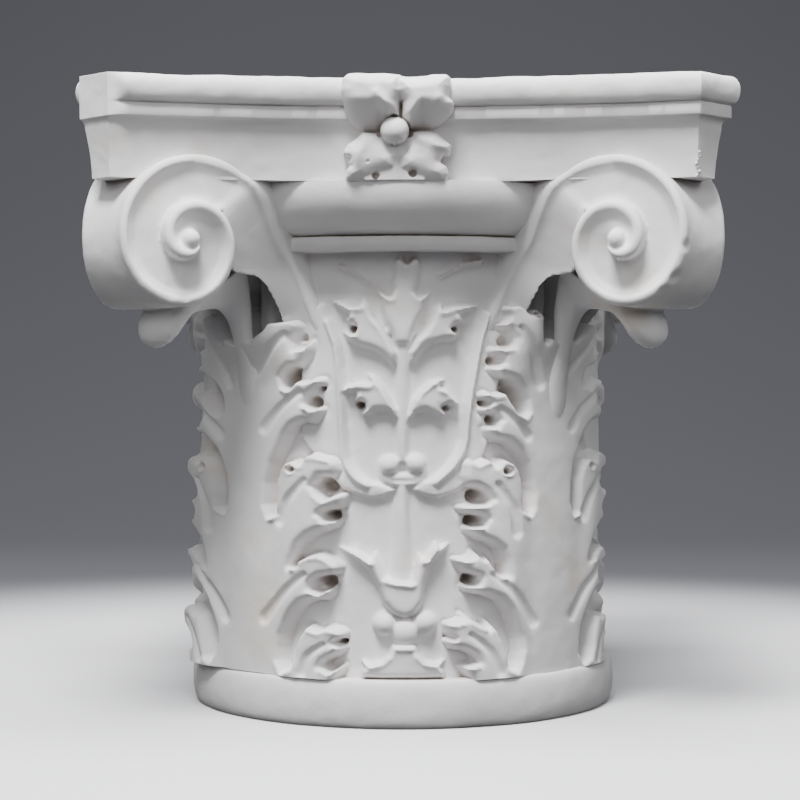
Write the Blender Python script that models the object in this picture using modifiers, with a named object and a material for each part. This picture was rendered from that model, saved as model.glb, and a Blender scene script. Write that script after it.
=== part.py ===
"""A cast plaster capital with corner volutes, acanthus leaves and a square abacus.

The whole capital is one casting, so it is one closed solid. It stands on its
underside at z = 0, with the vertical axis through the origin and its front
face towards -Y. Lengths are in metres.
"""

import math

import bmesh
import bpy
import numpy as np
from mathutils import Matrix, Vector

MM = 0.001

# The overall height, and the levels where one form gives way to the next
HEIGHT = 450 * MM
RING_HEIGHT = 34 * MM
ABACUS_HEIGHT = 69.5 * MM
ECHINUS_HEIGHT = 36.5 * MM
ECHINUS_SINK = 4 * MM
LIP_HEIGHT = 10 * MM
FLARE_HEIGHT = 48 * MM

# Radii of the turned forms
RING_RADIUS = 162.5 * MM
RING_FOOT_RADIUS = 157.5 * MM
BELL_RADIUS = 147 * MM
BELL_FLARE = 3 * MM
LIP_PROJECTION = 24 * MM
ECHINUS_RADIUS = 195 * MM
ECHINUS_FOOT = 13 * MM
NECK_INSET = 22 * MM

# The abacus: its width over the mouldings, half its length between corners, its
# hollow sides and the corner that has lost its mouldings
ABACUS_WIDTH = 456.4 * MM
ABACUS_HALF_LENGTH = 197 * MM
ABACUS_HOLLOW = 31 * MM
MOULDING_PROJECTION = 17.7 * MM
FILLET_PROJECTION = 11.3 * MM
FACE_FLARE = 5 * MM
FACE_CURVE = 1.6
COVE_HEIGHT = 4 * MM
COVE_PROJECTION = 7 * MM
MOULDING_HEIGHT = 20 * MM
FILLET_HEIGHT = 9 * MM
BROKEN_PROJECTION = 8.5 * MM
BROKEN_REACH = 15 * MM
BROKEN_RUN = 13 * MM

# The volutes, drawn as one shrinking spiral on a disc turned to the diagonal
VOLUTE_RADIUS = 57.8 * MM
VOLUTE_SHRINK = 7.93 * MM
VOLUTE_OVAL = 0.92
VOLUTE_TURN_IN = math.radians(20.5)
VOLUTE_ACROSS = 145.5 * MM
VOLUTE_REACH = 201.5 * MM
VOLUTE_RISE_INTO_ABACUS = 16 * MM
VOLUTE_SAG = 1.3 * MM
VOLUTE_RIM = 7.6 * MM
VOLUTE_RIM_RISE = 2.6 * MM
VOLUTE_ROLL_RISE = 4.2 * MM
VOLUTE_ARRIS = 4.4 * MM
VOLUTE_BEVEL = 2.4 * MM
VOLUTE_DISH = 2.6 * MM
VOLUTE_STEP = 8.5 * MM
VOLUTE_TUCK = 9 * MM
EYE_RADIUS = 6.9 * MM
BARREL_HOLLOW = 6 * MM

# The rosette in the middle of each side of the abacus
ROSETTE_RISE = 24 * MM
ROSETTE_ROOT = 15 * MM
ROSETTE_LEAN = 13 * MM
PETAL_EDGE = 11 * MM
ROSETTE_CORE = 19 * MM
ROSETTE_CORE_RADIUS = 26 * MM
BUD_RADIUS = 9.8 * MM
ROSETTE_STAND_OFF = 208 * MM
ROSETTE_INSET = 2 * MM

# How far the carving stands out of the bell, or goes into it, and how much more
# on the left side
LEAF_RELIEF = 9.5 * MM
LEAF_SWELL = 4 * MM
LEAF_LEAN = 13 * MM
LEAN_FLOOR = 240 * MM
LEAN_RUN = 52 * MM
LEAF_EDGE = 4 * MM
STRIP_RELIEF = 5.5 * MM
FILLET_RELIEF = 9 * MM
PALMETTE_RELIEF = 8 * MM
STEM_RELIEF = 5 * MM
BALL_RELIEF = 9.5 * MM
HOLLOW_DEPTH = 9 * MM
PIT_DEPTH = 22 * MM
BOLD_SHARE = 0.8
BOLD_SPREAD = math.radians(34)

# Fineness of the build
VOXEL = 2.4 * MM
TRIANGLES = 9600
AROUND = 384
SEAT_REACH = 0.8 * VOXEL
SIDE_STEPS = 44
CANT_STEPS = 4
TINY = 0.01 * MM
FULL_TURN = 360

# The elevation that the carving is drawn on. Its unit is a 578th of the height,
# seen from 1950 units away, and its points are turned into angles on the bell
SHEET_HEIGHT = 578.0
SHEET_DISTANCE = 1950.0
SHEET_AXIS = 403.0
SHEET_EYE_LEVEL = 380.0
SHEET_EYE_HEIGHT = 313.6
SHEET_BELL_RADIUS = 198.0
SHEET_UNIT = HEIGHT / SHEET_HEIGHT

ABACUS_REACH = ABACUS_WIDTH / 2 - MOULDING_PROJECTION
ABACUS_FLOOR = HEIGHT - ABACUS_HEIGHT
ECHINUS_FLOOR = ABACUS_FLOOR - ECHINUS_HEIGHT
LIP_FLOOR = ECHINUS_FLOOR - LIP_HEIGHT
FLARE_FLOOR = LIP_FLOOR - FLARE_HEIGHT
LIP_RADIUS = BELL_RADIUS + LIP_PROJECTION
ECHINUS_FOOT_RADIUS = BELL_RADIUS + ECHINUS_FOOT
EYE_HEIGHT = ABACUS_FLOOR + VOLUTE_RISE_INTO_ABACUS - VOLUTE_RADIUS
VOLUTE_FLOOR = EYE_HEIGHT - VOLUTE_RADIUS + 2 * VOLUTE_SHRINK

# The corner leaf's stem and the tongue that it ends in, in millimetres: how far
# out of the bell, how far over the volute's foot, half-width, thickness, and how
# far its sides curl up
TONGUE = (
    (3, -92, 12, 14, 0),
    (9, -57, 11, 14, 0),
    (13, -35, 10, 13, 0),
    (17, -18, 15, 12, 6),
    (24, -5, 23, 12, 18),
    (37, 2, 27, 12, 22),
    (56, 3, 26, 14, 12),
    (75, 0, 23, 19, 2),
    (87, -9, 22, 21, 0),
    (93, -20, 19, 19, 0),
    (93, -27, 12, 14, 0),
)
# The strip where it leaves the volute: the angle round the spiral, how far it
# sinks under the disc's face there in millimetres, and how hollow it is
STRIP_START = ((24, 6, 1.0), (12, 0.8, 1.0), (-1, 0, 1.0), (-20, 0, 1.0), (-40, 0, 0.9), (-58, 0, 0.7))
STRIP_SWELL = 0.08
STRIP_DEPTH = 26 * MM
# Then its way down past the echinus, in millimetres: the fillet's place across
# and out, the inner edge's place across and out, the drop and the thickness
STRIP_DROP = (
    (83.5, 160, 116, 178, 2, 36),
    (74.5, 147, 101, 161, 17, 32),
    (66, 141, 90, 146, 35, 30),
    (59.5, 141, 83, 130, 55, 22),
    (55, 139, 78, 122, 68, 14),
    (51, 136.5, 74, 113, 82, 11),
)

PLASTER = (0.78, 0.765, 0.75, 1.0)

# The carving of one face, drawn on the elevation. Leaves, strips, palmettes,
# pits and petals are outlines. Stems and fillets are lines with their
# half-widths in millimetres, and hollows and balls are places with a radius
LEAVES = {
    "left": (
        (238, 262), (259, 266), (262, 300), (260, 330), (262, 339), (267, 334), (273, 330), (278, 322),
        (288, 321), (299, 320), (304, 326), (302, 334), (297, 340), (299, 349), (306, 348), (314, 338),
        (314, 350), (310, 359), (305, 365), (300, 368), (294, 368), (285, 378), (286, 386), (292, 389),
        (300, 380), (309, 382), (318, 378), (325, 378), (327, 384), (320, 390), (310, 397), (309, 404),
        (316, 409), (324, 407), (325, 411), (320, 419), (315, 424), (305, 422), (295, 427), (287, 436),
        (281, 449), (274, 464), (270, 484), (269, 505), (272, 516), (277, 515), (277, 500), (278, 484),
        (282, 470), (288, 462), (295, 460), (303, 464), (307, 456), (315, 453), (324, 456), (334, 458),
        (339, 464), (340, 471), (336, 477), (322, 477), (316, 486), (319, 493), (326, 499), (338, 494),
        (346, 493), (346, 501), (343, 507), (330, 511), (323, 514), (326, 520), (334, 521), (341, 519),
        (336, 527), (327, 530), (319, 532), (310, 537), (303, 544), (299, 551), (296, 559), (294, 566),
        (298, 566), (300, 560), (310, 555), (321, 553), (331, 557), (339, 564), (341, 568), (338, 575),
        (322, 577), (313, 583), (313, 588), (321, 593), (333, 587), (333, 594), (326, 600), (314, 600),
        (303, 604), (295, 613), (289, 623), (284, 635), (282, 647), (281, 660), (285, 671), (292, 668),
        (296, 659), (298, 647), (301, 637), (309, 625), (321, 630), (327, 627), (338, 628), (346, 633),
        (344, 640), (336, 643), (345, 648), (343, 652), (336, 657), (327, 661), (324, 666), (331, 671),
        (343, 665), (343, 671), (338, 679), (338, 690), (238, 690),
    ),
    "right": (
        (562, 262), (545, 266), (543, 300), (541, 330), (537, 341), (535, 330), (534, 316), (531, 309),
        (525, 308), (521, 312), (517, 306), (512, 304), (507, 306), (503, 304), (499, 307), (498, 311),
        (502, 317), (500, 322), (494, 325), (497, 329), (505, 331), (509, 339), (508, 346), (500, 348),
        (489, 347), (488, 354), (497, 357), (498, 363), (493, 367), (486, 367), (488, 371), (491, 374),
        (499, 378), (505, 378), (512, 382), (519, 390), (524, 401), (525, 411), (522, 416), (515, 412),
        (508, 402), (502, 392), (498, 393), (491, 394), (484, 391), (477, 394), (478, 400), (485, 403),
        (484, 407), (477, 409), (480, 413), (492, 414), (496, 420), (493, 426), (483, 427), (484, 432),
        (486, 437), (492, 440), (505, 442), (516, 452), (523, 465), (528, 481), (530, 495), (529, 508),
        (527, 514), (522, 511), (522, 496), (520, 482), (516, 470), (511, 463), (504, 459), (498, 459),
        (493, 466), (491, 461), (484, 458), (475, 463), (467, 458), (462, 464), (461, 477), (463, 486),
        (473, 487), (482, 492), (487, 499), (484, 503), (476, 504), (466, 505), (457, 507), (461, 512),
        (472, 515), (482, 519), (480, 525), (465, 527), (466, 532), (476, 538), (489, 543), (498, 550),
        (502, 561), (504, 575), (499, 575), (496, 572), (490, 564), (485, 555), (482, 559), (473, 550),
        (470, 557), (453, 559), (457, 566), (464, 573), (476, 577), (476, 584), (462, 586), (464, 591),
        (473, 593), (485, 595), (498, 600), (507, 611), (512, 624), (517, 638), (518, 650), (516, 661),
        (512, 670), (507, 668), (506, 659), (501, 643), (496, 631), (484, 617), (485, 627), (478, 624),
        (460, 613), (463, 619), (445, 624), (448, 634), (446, 643), (450, 649), (462, 650), (472, 656),
        (475, 662), (468, 665), (459, 666), (463, 672), (468, 679), (468, 690), (562, 690),
    ),
}
STRIPS = {
    "left": (
        (320, 304), (335, 349), (338, 384), (341, 440), (342, 460), (348, 468),
        (356, 479), (367, 483), (377, 483), (386, 486), (396, 490), (389, 495), (380, 498), (369, 499),
        (358, 496), (345, 491), (330, 480), (300, 440), (290, 390), (280, 330), (285, 312),
    ),
    "right": (
        (496, 300), (481, 342), (474, 379), (468, 419), (466, 446), (458, 459),
        (445, 474), (434, 480), (424, 481), (411, 490), (422, 495), (436, 498), (450, 494), (466, 488),
        (480, 470), (500, 420), (515, 380), (530, 340), (522, 312),
    ),
}
PALMETTES = {
    "flower": (
        (394, 346), (391, 334), (384, 322), (381, 311), (380, 299), (373, 289), (383, 294), (390, 297),
        (392, 291), (391, 283), (395, 273), (394, 262), (400, 257), (407, 264), (414, 257), (421, 262),
        (419, 280), (416, 292), (419, 297), (426, 294), (432, 289), (427, 302), (425, 311), (418, 322),
        (413, 334), (411, 346),
    ),
    "upper_left": (
        (395, 369), (387, 361), (379, 353), (370, 349), (357, 346), (346, 339), (340, 332), (353, 334),
        (355, 329), (349, 324), (342, 320), (348, 317), (344, 312), (335, 306), (327, 302), (340, 302),
        (352, 307), (359, 306), (360, 298), (368, 306), (374, 318), (383, 328), (390, 340), (397, 354),
    ),
    "upper_right": (
        (411, 367), (421, 353), (429, 346), (443, 341), (453, 341), (460, 335), (454, 332), (454, 327),
        (469, 321), (461, 318), (465, 313), (482, 306), (471, 305), (455, 306), (443, 310), (443, 302),
        (435, 309), (430, 323), (425, 332), (415, 340), (408, 353),
    ),
    "lower_left": (
        (397, 422), (387, 412), (376, 411), (368, 416), (358, 415), (364, 410), (363, 404), (350, 401),
        (355, 397), (352, 394), (340, 392), (346, 386), (357, 383), (368, 384), (370, 382), (366, 372),
        (374, 378), (383, 387), (390, 398), (397, 411),
    ),
    "lower_right": (
        (406, 423), (412, 401), (419, 391), (431, 381), (449, 379), (440, 383), (441, 387), (449, 391),
        (455, 398), (461, 406), (451, 406), (449, 412), (443, 418), (435, 416), (426, 411), (416, 413),
        (409, 421),
    ),
    "calyx": (
        (331, 546), (353, 551), (362, 556), (370, 561), (374, 552), (381, 567), (385, 578), (394, 581),
        (411, 583), (416, 564), (420, 552), (422, 559), (426, 559), (431, 551), (437, 542), (440, 548),
        (453, 543), (441, 554), (430, 569), (425, 586), (423, 604), (416, 615), (405, 620), (392, 615),
        (383, 604), (378, 589), (370, 575), (358, 562), (345, 553),
    ),
    "foot": (
        (392, 646), (388, 655), (381, 662), (370, 665), (359, 661), (363, 668), (360, 673), (360, 680),
        (446, 680), (446, 673), (441, 668), (448, 660), (437, 664), (426, 662), (419, 655), (416, 646),
    ),
}
PITS = {
    "left": (
        (262, 276), (272, 291), (279, 304), (283, 316), (274, 327), (266, 333), (262, 330), (263, 300),
    ),
    "right": (
        (546, 272), (531, 287), (525, 306), (532, 312), (536, 334), (540, 330), (542, 300),
    ),
}
STEMS = {
    "upper": (((402, 460), (402, 400), (403, 340)), 3.7, 6.0),
    "lower": (((402, 488), (401, 530), (400, 580)), 3.8, 8.0),
    "knot": (((388, 478), (416, 478)), 3.6, 3.6),
    "knot_under": (((392, 484), (412, 484)), 2.6, 2.6),
    "left_curl": (((380, 470), (383, 480), (390, 484)), 2.6, 2.0),
    "right_curl": (((424, 470), (421, 480), (414, 484)), 2.6, 2.0),
}
FILLETS = {
    "left": (
        ((326, 322), (331, 336), (335, 349), (338, 384), (341, 440), (344, 462), (354, 478), (366, 486)),
        2.6,
        3.2,
    ),
    "right": (
        ((489, 314), (485, 328), (481, 342), (474, 379), (468, 419), (465, 446), (454, 466), (436, 483)),
        2.6,
        3.2,
    ),
}
HOLLOWS = {
    "left_tear": (292, 379, 4.2),
    "left_fourth": (315, 402, 4.6),
    "left_third": (327, 486, 6.0),
    "left_third_lower": (331, 515, 4.0),
    "left_second": (325, 582, 5.4),
    "right_fifth_middle": (504, 341, 3.8),
    "right_fifth_lower": (492, 361, 3.2),
    "right_fourth_lower": (491, 420, 3.2),
    "right_third": (476, 496, 5.0),
    "right_third_lower": (473, 521, 4.4),
    "right_second": (471, 580, 4.6),
    "lower_left_leaf": (358, 405, 3.0),
    "lower_right_leaf": (446, 408, 3.4),
}
BALLS = {
    "middle_berry": (405, 634, 10.2),
    "left_berry": (384, 625, 8.4),
    "right_berry": (425, 624, 8.2),
    "left_knot_scroll": (388, 466, 7.4),
    "right_knot_scroll": (416, 465, 7.4),
}
PETALS = {
    "upper_left": (
        (399.6, 117), (399.6, 97), (397, 82), (394, 72), (384, 70), (370, 70.5), (356, 69), (347, 71),
        (341, 77), (339, 90), (341, 100), (342, 104), (344, 114), (350, 122), (362, 128.6), (378, 129.2),
        (386, 121), (392, 114.5),
    ),
    "upper_right": (
        (400.6, 117), (400.6, 97), (400, 82), (399, 74), (410, 75), (424, 74), (434, 72), (446, 72),
        (451, 76), (452, 86), (450, 96), (454, 100), (455, 106), (452, 113), (441, 122), (431, 126.5),
        (410, 127), (402, 118),
    ),
    "lower_left": (
        (362, 130), (355, 136), (346, 142), (342, 150), (344, 157), (348, 164), (345, 168), (343.5, 176),
        (348, 180.5), (367, 180.5), (373, 176), (384, 171), (396, 168), (396.5, 152), (390, 146),
        (380, 136), (376, 130.6),
    ),
    "lower_right": (
        (412, 129), (408.5, 140), (404, 148), (398.5, 152), (397, 168), (406, 173), (416, 177), (422, 181),
        (430, 182), (446, 180), (449, 172), (447, 164), (440, 159), (442.5, 153), (450, 152), (452, 143),
        (444, 136), (437, 129.5), (420, 128.4),
    ),
}
ROSETTE_MIDDLE = (394.3, 130.5)
ROSETTE_CORNERS = ((334, 184), (460, 74))
ROSETTE_STEPS = 56


def clear_scene():
    """Remove every object that the file opened with."""
    for thing in list(bpy.data.objects):
        bpy.data.objects.remove(thing, do_unlink=True)


def blend(value):
    """Ease a number or an array from 0 to 1."""
    value = np.clip(value, 0.0, 1.0)
    return value * value * (3.0 - 2.0 * value)


def on_bell(x, y):
    """Turn a drawn point into a distance round the bell and a height."""
    angle = 0.0
    for _ in range(14):
        depth = SHEET_BELL_RADIUS * math.cos(angle)
        sine = (x - SHEET_AXIS) * (SHEET_DISTANCE - depth) / SHEET_DISTANCE / SHEET_BELL_RADIUS
        angle = math.asin(max(-0.999, min(0.999, sine)))
    depth = SHEET_BELL_RADIUS * math.cos(angle)
    rise = (SHEET_EYE_LEVEL - y) * (SHEET_DISTANCE - depth) / SHEET_DISTANCE
    return angle * BELL_RADIUS, (rise + SHEET_EYE_HEIGHT) * SHEET_UNIT


def on_rosette(x, y):
    """Turn a drawn point into a place on the front rosette's plane."""
    scale = (SHEET_DISTANCE - ROSETTE_STAND_OFF / SHEET_UNIT) / SHEET_DISTANCE * SHEET_UNIT
    return (x - SHEET_AXIS) * scale, (SHEET_EYE_LEVEL - y) * scale + SHEET_EYE_HEIGHT * SHEET_UNIT


def within(across, up, places):
    """How far inside a closed outline each place is, and how much its edge faces up."""
    best = np.full(across.shape, np.inf)
    facing = np.zeros(across.shape)
    inside = np.zeros(across.shape, dtype=bool)
    pairs = list(zip(places, places[1:] + places[:1]))
    turning = math.copysign(1.0, sum(ax * by - bx * ay for (ax, ay), (bx, by) in pairs))
    for (ax, ay), (bx, by) in pairs:
        span = math.dist((ax, ay), (bx, by))
        share = np.clip(((across - ax) * (bx - ax) + (up - ay) * (by - ay)) / (span * span), 0.0, 1.0)
        gap = np.hypot(across - ax - share * (bx - ax), up - ay - share * (by - ay))
        nearer = gap < best
        best = np.where(nearer, gap, best)
        facing = np.where(nearer, turning * (ax - bx) / span, facing)
        if ay != by:
            inside ^= ((ay > up) != (by > up)) & (across < (bx - ax) * (up - ay) / (by - ay) + ax)
    return np.where(inside, best, -best), facing


def rounded(inside, edge):
    """A raised form's share of its height: flat, with a quarter-round edge."""
    return np.sqrt(1.0 - (1.0 - np.clip(inside / edge, 0.0, 1.0)) ** 2)


def carved_leaf(around, up, outline, rise):
    """Height of a leaf that is crisp on top and rolled under, and how far inside places are."""
    inside, facing = within(around, up, [on_bell(*point) for point in outline])
    return rise * rounded(inside, LEAF_EDGE * (1 - 0.5 * facing)), inside


def ridge(around, up, stroke, rise):
    """Height of a rounded ridge along a line."""
    points, start, end = stroke
    places = [on_bell(*point) for point in points]
    spans = [math.dist(a, b) for a, b in zip(places, places[1:])]
    best = np.full(around.shape, np.inf)
    run = 0.0
    for (ax, ay), (bx, by), span in zip(places, places[1:], spans):
        share = np.clip(((around - ax) * (bx - ax) + (up - ay) * (by - ay)) / (span * span), 0.0, 1.0)
        gap = np.hypot(around - ax - share * (bx - ax), up - ay - share * (by - ay))
        half = (start + (end - start) * (run + share * span) / sum(spans)) * MM
        best = np.minimum(best, gap / half)
        run += span
    return rise * np.sqrt(np.clip(1.0 - best**2, 0.0, None))


def dome(around, up, spot, rise):
    """Height of a ball sunk in the ground, or the depth of a hollow."""
    x, y, radius = spot
    place = on_bell(x, y)
    share = np.hypot(around - place[0], up - place[1]) / (radius * MM)
    return rise * np.sqrt(np.clip(1.0 - share**2, 0.0, None))


def relief(around, up):
    """How far the carved surface of one face stands out of the plain bell."""
    corner_gap = BELL_RADIUS * math.pi / 4 - np.abs(around)
    out = np.zeros(around.shape)
    for strip in STRIPS.values():
        out = np.maximum(out, carved_leaf(around, up, strip, STRIP_RELIEF)[0])
    for fillet in FILLETS.values():
        out = np.maximum(out, ridge(around, up, fillet, FILLET_RELIEF))
    for stem in STEMS.values():
        out = np.maximum(out, ridge(around, up, stem, STEM_RELIEF))
    for palmette in PALMETTES.values():
        out = np.maximum(out, carved_leaf(around, up, palmette, PALMETTE_RELIEF)[0])
    for ball in BALLS.values():
        out = np.maximum(out, dome(around, up, ball, BALL_RELIEF))
    swell = LEAF_SWELL * blend((corner_gap / (22 * MM)) - 1)
    swell += LEAF_LEAN * blend((up - LEAN_FLOOR) / LEAN_RUN) * blend((47.5 * MM - corner_gap) / (26 * MM))
    for outline in LEAVES.values():
        height, inside = carved_leaf(around, up, outline, LEAF_RELIEF)
        out = np.where(inside > 0, np.maximum(out * 0.6, height + swell * rounded(inside, 2 * LEAF_EDGE)), out)
    for hollow in HOLLOWS.values():
        out = out - dome(around, up, hollow, HOLLOW_DEPTH)
    for pit in PITS.values():
        inside = within(around, up, [on_bell(*point) for point in pit])[0]
        out = out - PIT_DEPTH * blend((inside + MM) / VOXEL)
    return out


def bell_profile():
    """Radius and height down the outside of the turned forms, top first."""
    echinus_top = ABACUS_FLOOR - ECHINUS_SINK
    bury = 6 * MM
    rows = [(0.0, ABACUS_FLOOR + bury), (ECHINUS_RADIUS - NECK_INSET, ABACUS_FLOOR + bury)]
    rows.append((ECHINUS_RADIUS - NECK_INSET, ABACUS_FLOOR))
    for turn in range(90, -1, -6):
        swell, drop = math.sin(math.radians(turn)), math.cos(math.radians(turn))
        reach = ECHINUS_FOOT_RADIUS + (ECHINUS_RADIUS - ECHINUS_FOOT_RADIUS) * swell
        rows.append((reach, echinus_top - (echinus_top - ECHINUS_FLOOR) * drop))
    rows += [(LIP_RADIUS, LIP_FLOOR + LIP_HEIGHT), (LIP_RADIUS, LIP_FLOOR)]
    flare_steps, bell_steps = 20, 96
    for step in range(flare_steps + 1):
        share = step / flare_steps
        rows.append((BELL_RADIUS + BELL_FLARE * (1 - share) ** 2, LIP_FLOOR - FLARE_HEIGHT * share))
    drop = FLARE_FLOOR - RING_HEIGHT
    rows += [(BELL_RADIUS, FLARE_FLOOR - drop * step / bell_steps) for step in range(1, bell_steps + 1)]
    middle = RING_HEIGHT / 2
    for turn in range(90, -91, -15):
        swell = math.cos(math.radians(turn))
        rows.append(
            (
                RING_FOOT_RADIUS + (RING_RADIUS - RING_FOOT_RADIUS) * swell,
                middle + middle * math.sin(math.radians(turn)),
            )
        )
    rows.append((0.0, 0.0))
    return rows


def turned_body():
    """The ring, bell, lip and echinus, turned and then carved."""
    mesh = bpy.data.meshes.new("turned_body")
    rows = bell_profile()
    mesh.from_pydata([(r, 0.0, z) for r, z in rows], [(i, i + 1) for i in range(len(rows) - 1)], [])
    body = bpy.data.objects.new("turned_body", mesh)
    bpy.context.scene.collection.objects.link(body)
    screw = body.modifiers.new("turn", "SCREW")
    screw.steps = screw.render_steps = AROUND
    screw.use_merge_vertices = True
    screw.merge_threshold = TINY
    screw.use_normal_calculate = True
    return carve(evaluated(body))


def carve(mesh):
    """Push the bell's vertices out by the carving, and leave the mouldings turned."""
    points = np.empty(len(mesh.vertices) * 3)
    mesh.vertices.foreach_get("co", points)
    points = points.reshape(-1, 3)
    radius = np.hypot(points[:, 0], points[:, 1])
    angle = np.arctan2(points[:, 0], -points[:, 1])
    face_angle = (angle + math.pi / 4) % (math.pi / 2) - math.pi / 4
    up = points[:, 2]
    on_ground = (up > RING_HEIGHT) & (up < LIP_FLOOR - MM) & (radius > BELL_RADIUS / 2)
    out = np.where(on_ground, relief(face_angle * BELL_RADIUS, up), 0.0)
    bold = 1 + BOLD_SHARE * np.exp(-(((angle + math.pi / 2) / BOLD_SPREAD) ** 2))
    out = np.where(out > 0, out * bold, out)
    factor = (radius + out) / np.maximum(radius, TINY)
    points[:, 0] *= factor
    points[:, 1] *= factor
    mesh.vertices.foreach_set("co", points.ravel())
    return mesh


def evaluated(thing):
    """Turn an object and its modifiers into a plain mesh, and remove the object."""
    graph = bpy.context.evaluated_depsgraph_get()
    mesh = bpy.data.meshes.new_from_object(thing.evaluated_get(graph), depsgraph=graph)
    bpy.data.objects.remove(thing, do_unlink=True)
    return mesh


def lofted(name, sections):
    """A closed mesh through rings of equal length, with fans over its ends."""
    form = bmesh.new()
    rings = [[form.verts.new(point) for point in section] for section in sections]
    for lower, upper in zip(rings, rings[1:]):
        for here in range(len(lower)):
            there = (here + 1) % len(lower)
            form.faces.new((lower[here], lower[there], upper[there], upper[here]))
    for ring in (rings[0], rings[-1]):
        middle = form.verts.new(sum((v.co for v in ring), Vector()) / len(ring))
        for here in range(len(ring)):
            form.faces.new((ring[here], ring[(here + 1) % len(ring)], middle))
    bmesh.ops.remove_doubles(form, verts=form.verts, dist=TINY)
    bmesh.ops.recalc_face_normals(form, faces=form.faces)
    mesh = bpy.data.meshes.new(name)
    form.to_mesh(mesh)
    form.free()
    return mesh


def side_place(quarter, along, projection, level):
    """A place on one hollow side of the abacus, with the broken corner's loss."""
    broken_end = {0: -1, 3: 1}.get(quarter, 0)
    stand = projection
    if broken_end and level > HEIGHT - MOULDING_HEIGHT - FILLET_HEIGHT - MM:
        gap = abs(along - broken_end) * ABACUS_HALF_LENGTH
        loss = float(blend((BROKEN_REACH - gap) / BROKEN_RUN))
        stand += (min(projection, BROKEN_PROJECTION) - projection) * loss
    reach = ABACUS_REACH + stand - ABACUS_HOLLOW * (1 - along * along)
    turn = Matrix.Rotation(quarter * math.pi / 2, 4, "Z")
    return turn @ Vector((ABACUS_HALF_LENGTH * along, -reach, level))


def abacus_outline(projection, level):
    """The abacus in plan: four hollow sides and four canted corners."""
    points = []
    for quarter in range(4):
        for step in range(SIDE_STEPS + 1):
            points.append(side_place(quarter, -1 + 2 * step / SIDE_STEPS, projection, level))
        following = side_place((quarter + 1) % 4, -1, projection, level)
        last = points[-1]
        points += [last.lerp(following, step / CANT_STEPS) for step in range(1, CANT_STEPS)]
    return points


def abacus():
    """The abacus, with its face, fillet and rounded top moulding."""
    fillet_floor = HEIGHT - MOULDING_HEIGHT - FILLET_HEIGHT
    face_height = fillet_floor - COVE_HEIGHT - ABACUS_FLOOR
    face_steps = 5
    levels = [
        (FACE_FLARE * (step / face_steps) ** FACE_CURVE, ABACUS_FLOOR + face_height * step / face_steps)
        for step in range(face_steps + 1)
    ]
    levels += [(COVE_PROJECTION, fillet_floor - COVE_HEIGHT / 2), (FILLET_PROJECTION, fillet_floor)]
    levels.append((FILLET_PROJECTION, fillet_floor + FILLET_HEIGHT))
    for turn in range(-60, 91, 15):
        bulge = math.cos(math.radians(turn))
        rise = MOULDING_HEIGHT / 2 * (1 - math.sin(math.radians(turn)))
        levels.append((FILLET_PROJECTION + (MOULDING_PROJECTION - FILLET_PROJECTION) * bulge, HEIGHT - rise))
    return lofted("abacus", [abacus_outline(*level) for level in levels])


def spiral_radius(turn):
    """Radius of the volute's rim, for an angle in degrees from the top outwards."""
    return VOLUTE_RADIUS - VOLUTE_SHRINK * turn / 90 + VOLUTE_SAG * (1 - math.cos(math.radians(turn)))


def volute_point(radius, turn, rise):
    """A place on the front right disc."""
    across = VOLUTE_OVAL * radius * math.sin(math.radians(turn))
    up = radius * math.cos(math.radians(turn))
    cos, sin = math.cos(VOLUTE_TURN_IN), math.sin(VOLUTE_TURN_IN)
    return Vector(
        (
            VOLUTE_ACROSS + across * cos - rise * sin,
            -VOLUTE_REACH - across * sin - rise * cos,
            EYE_HEIGHT + up,
        )
    )


def rim_share(gap, broad):
    """A raised rim's share of its height: a soft arris, a flat and a bevel."""
    outer = math.sqrt(1 - (1 - min(1.0, gap / VOLUTE_ARRIS)) ** 2)
    return outer * float(blend((broad - gap) / VOLUTE_BEVEL)) - 0.8 * (1 - outer)


def volute_rise(radius, turn):
    """Height of the spiral carving over the disc's face."""
    if radius < EYE_RADIUS:
        return 0.85 * VOLUTE_STEP + math.sqrt(EYE_RADIUS**2 - radius**2)
    if radius < spiral_radius(turn + FULL_TURN):
        turn += FULL_TURN
    outer = spiral_radius(turn)
    gap = max(outer - radius, 0.0)
    shown = float(blend((turn + 16) / 14))
    base = VOLUTE_STEP * (0.7 * float(blend((turn - 195) / 165)) + 0.3 * float(blend((turn - 380) / 160)))
    base -= VOLUTE_TUCK * (1 - shown) * (1 + 1.8 * float(blend((-28 - turn) / 30)))
    rolled = float(blend((turn - 250) / 110))
    inner = max(spiral_radius(turn + FULL_TURN), EYE_RADIUS)
    broad = min(VOLUTE_RIM, max(outer - inner, MM))
    if gap > broad:
        return base - VOLUTE_DISH * float(blend((gap - broad) / (5 * MM)))
    roll = VOLUTE_ROLL_RISE * math.sqrt(max(0.0, 1 - (2 * gap / broad - 1) ** 2))
    return base + shown * (VOLUTE_RIM_RISE * rim_share(gap, broad) * (1 - rolled) + roll * rolled)


def across_diagonal(point):
    """Mirror a place on the front right corner to the corner's other face."""
    return Vector((-point.y, -point.x, point.z))


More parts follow.
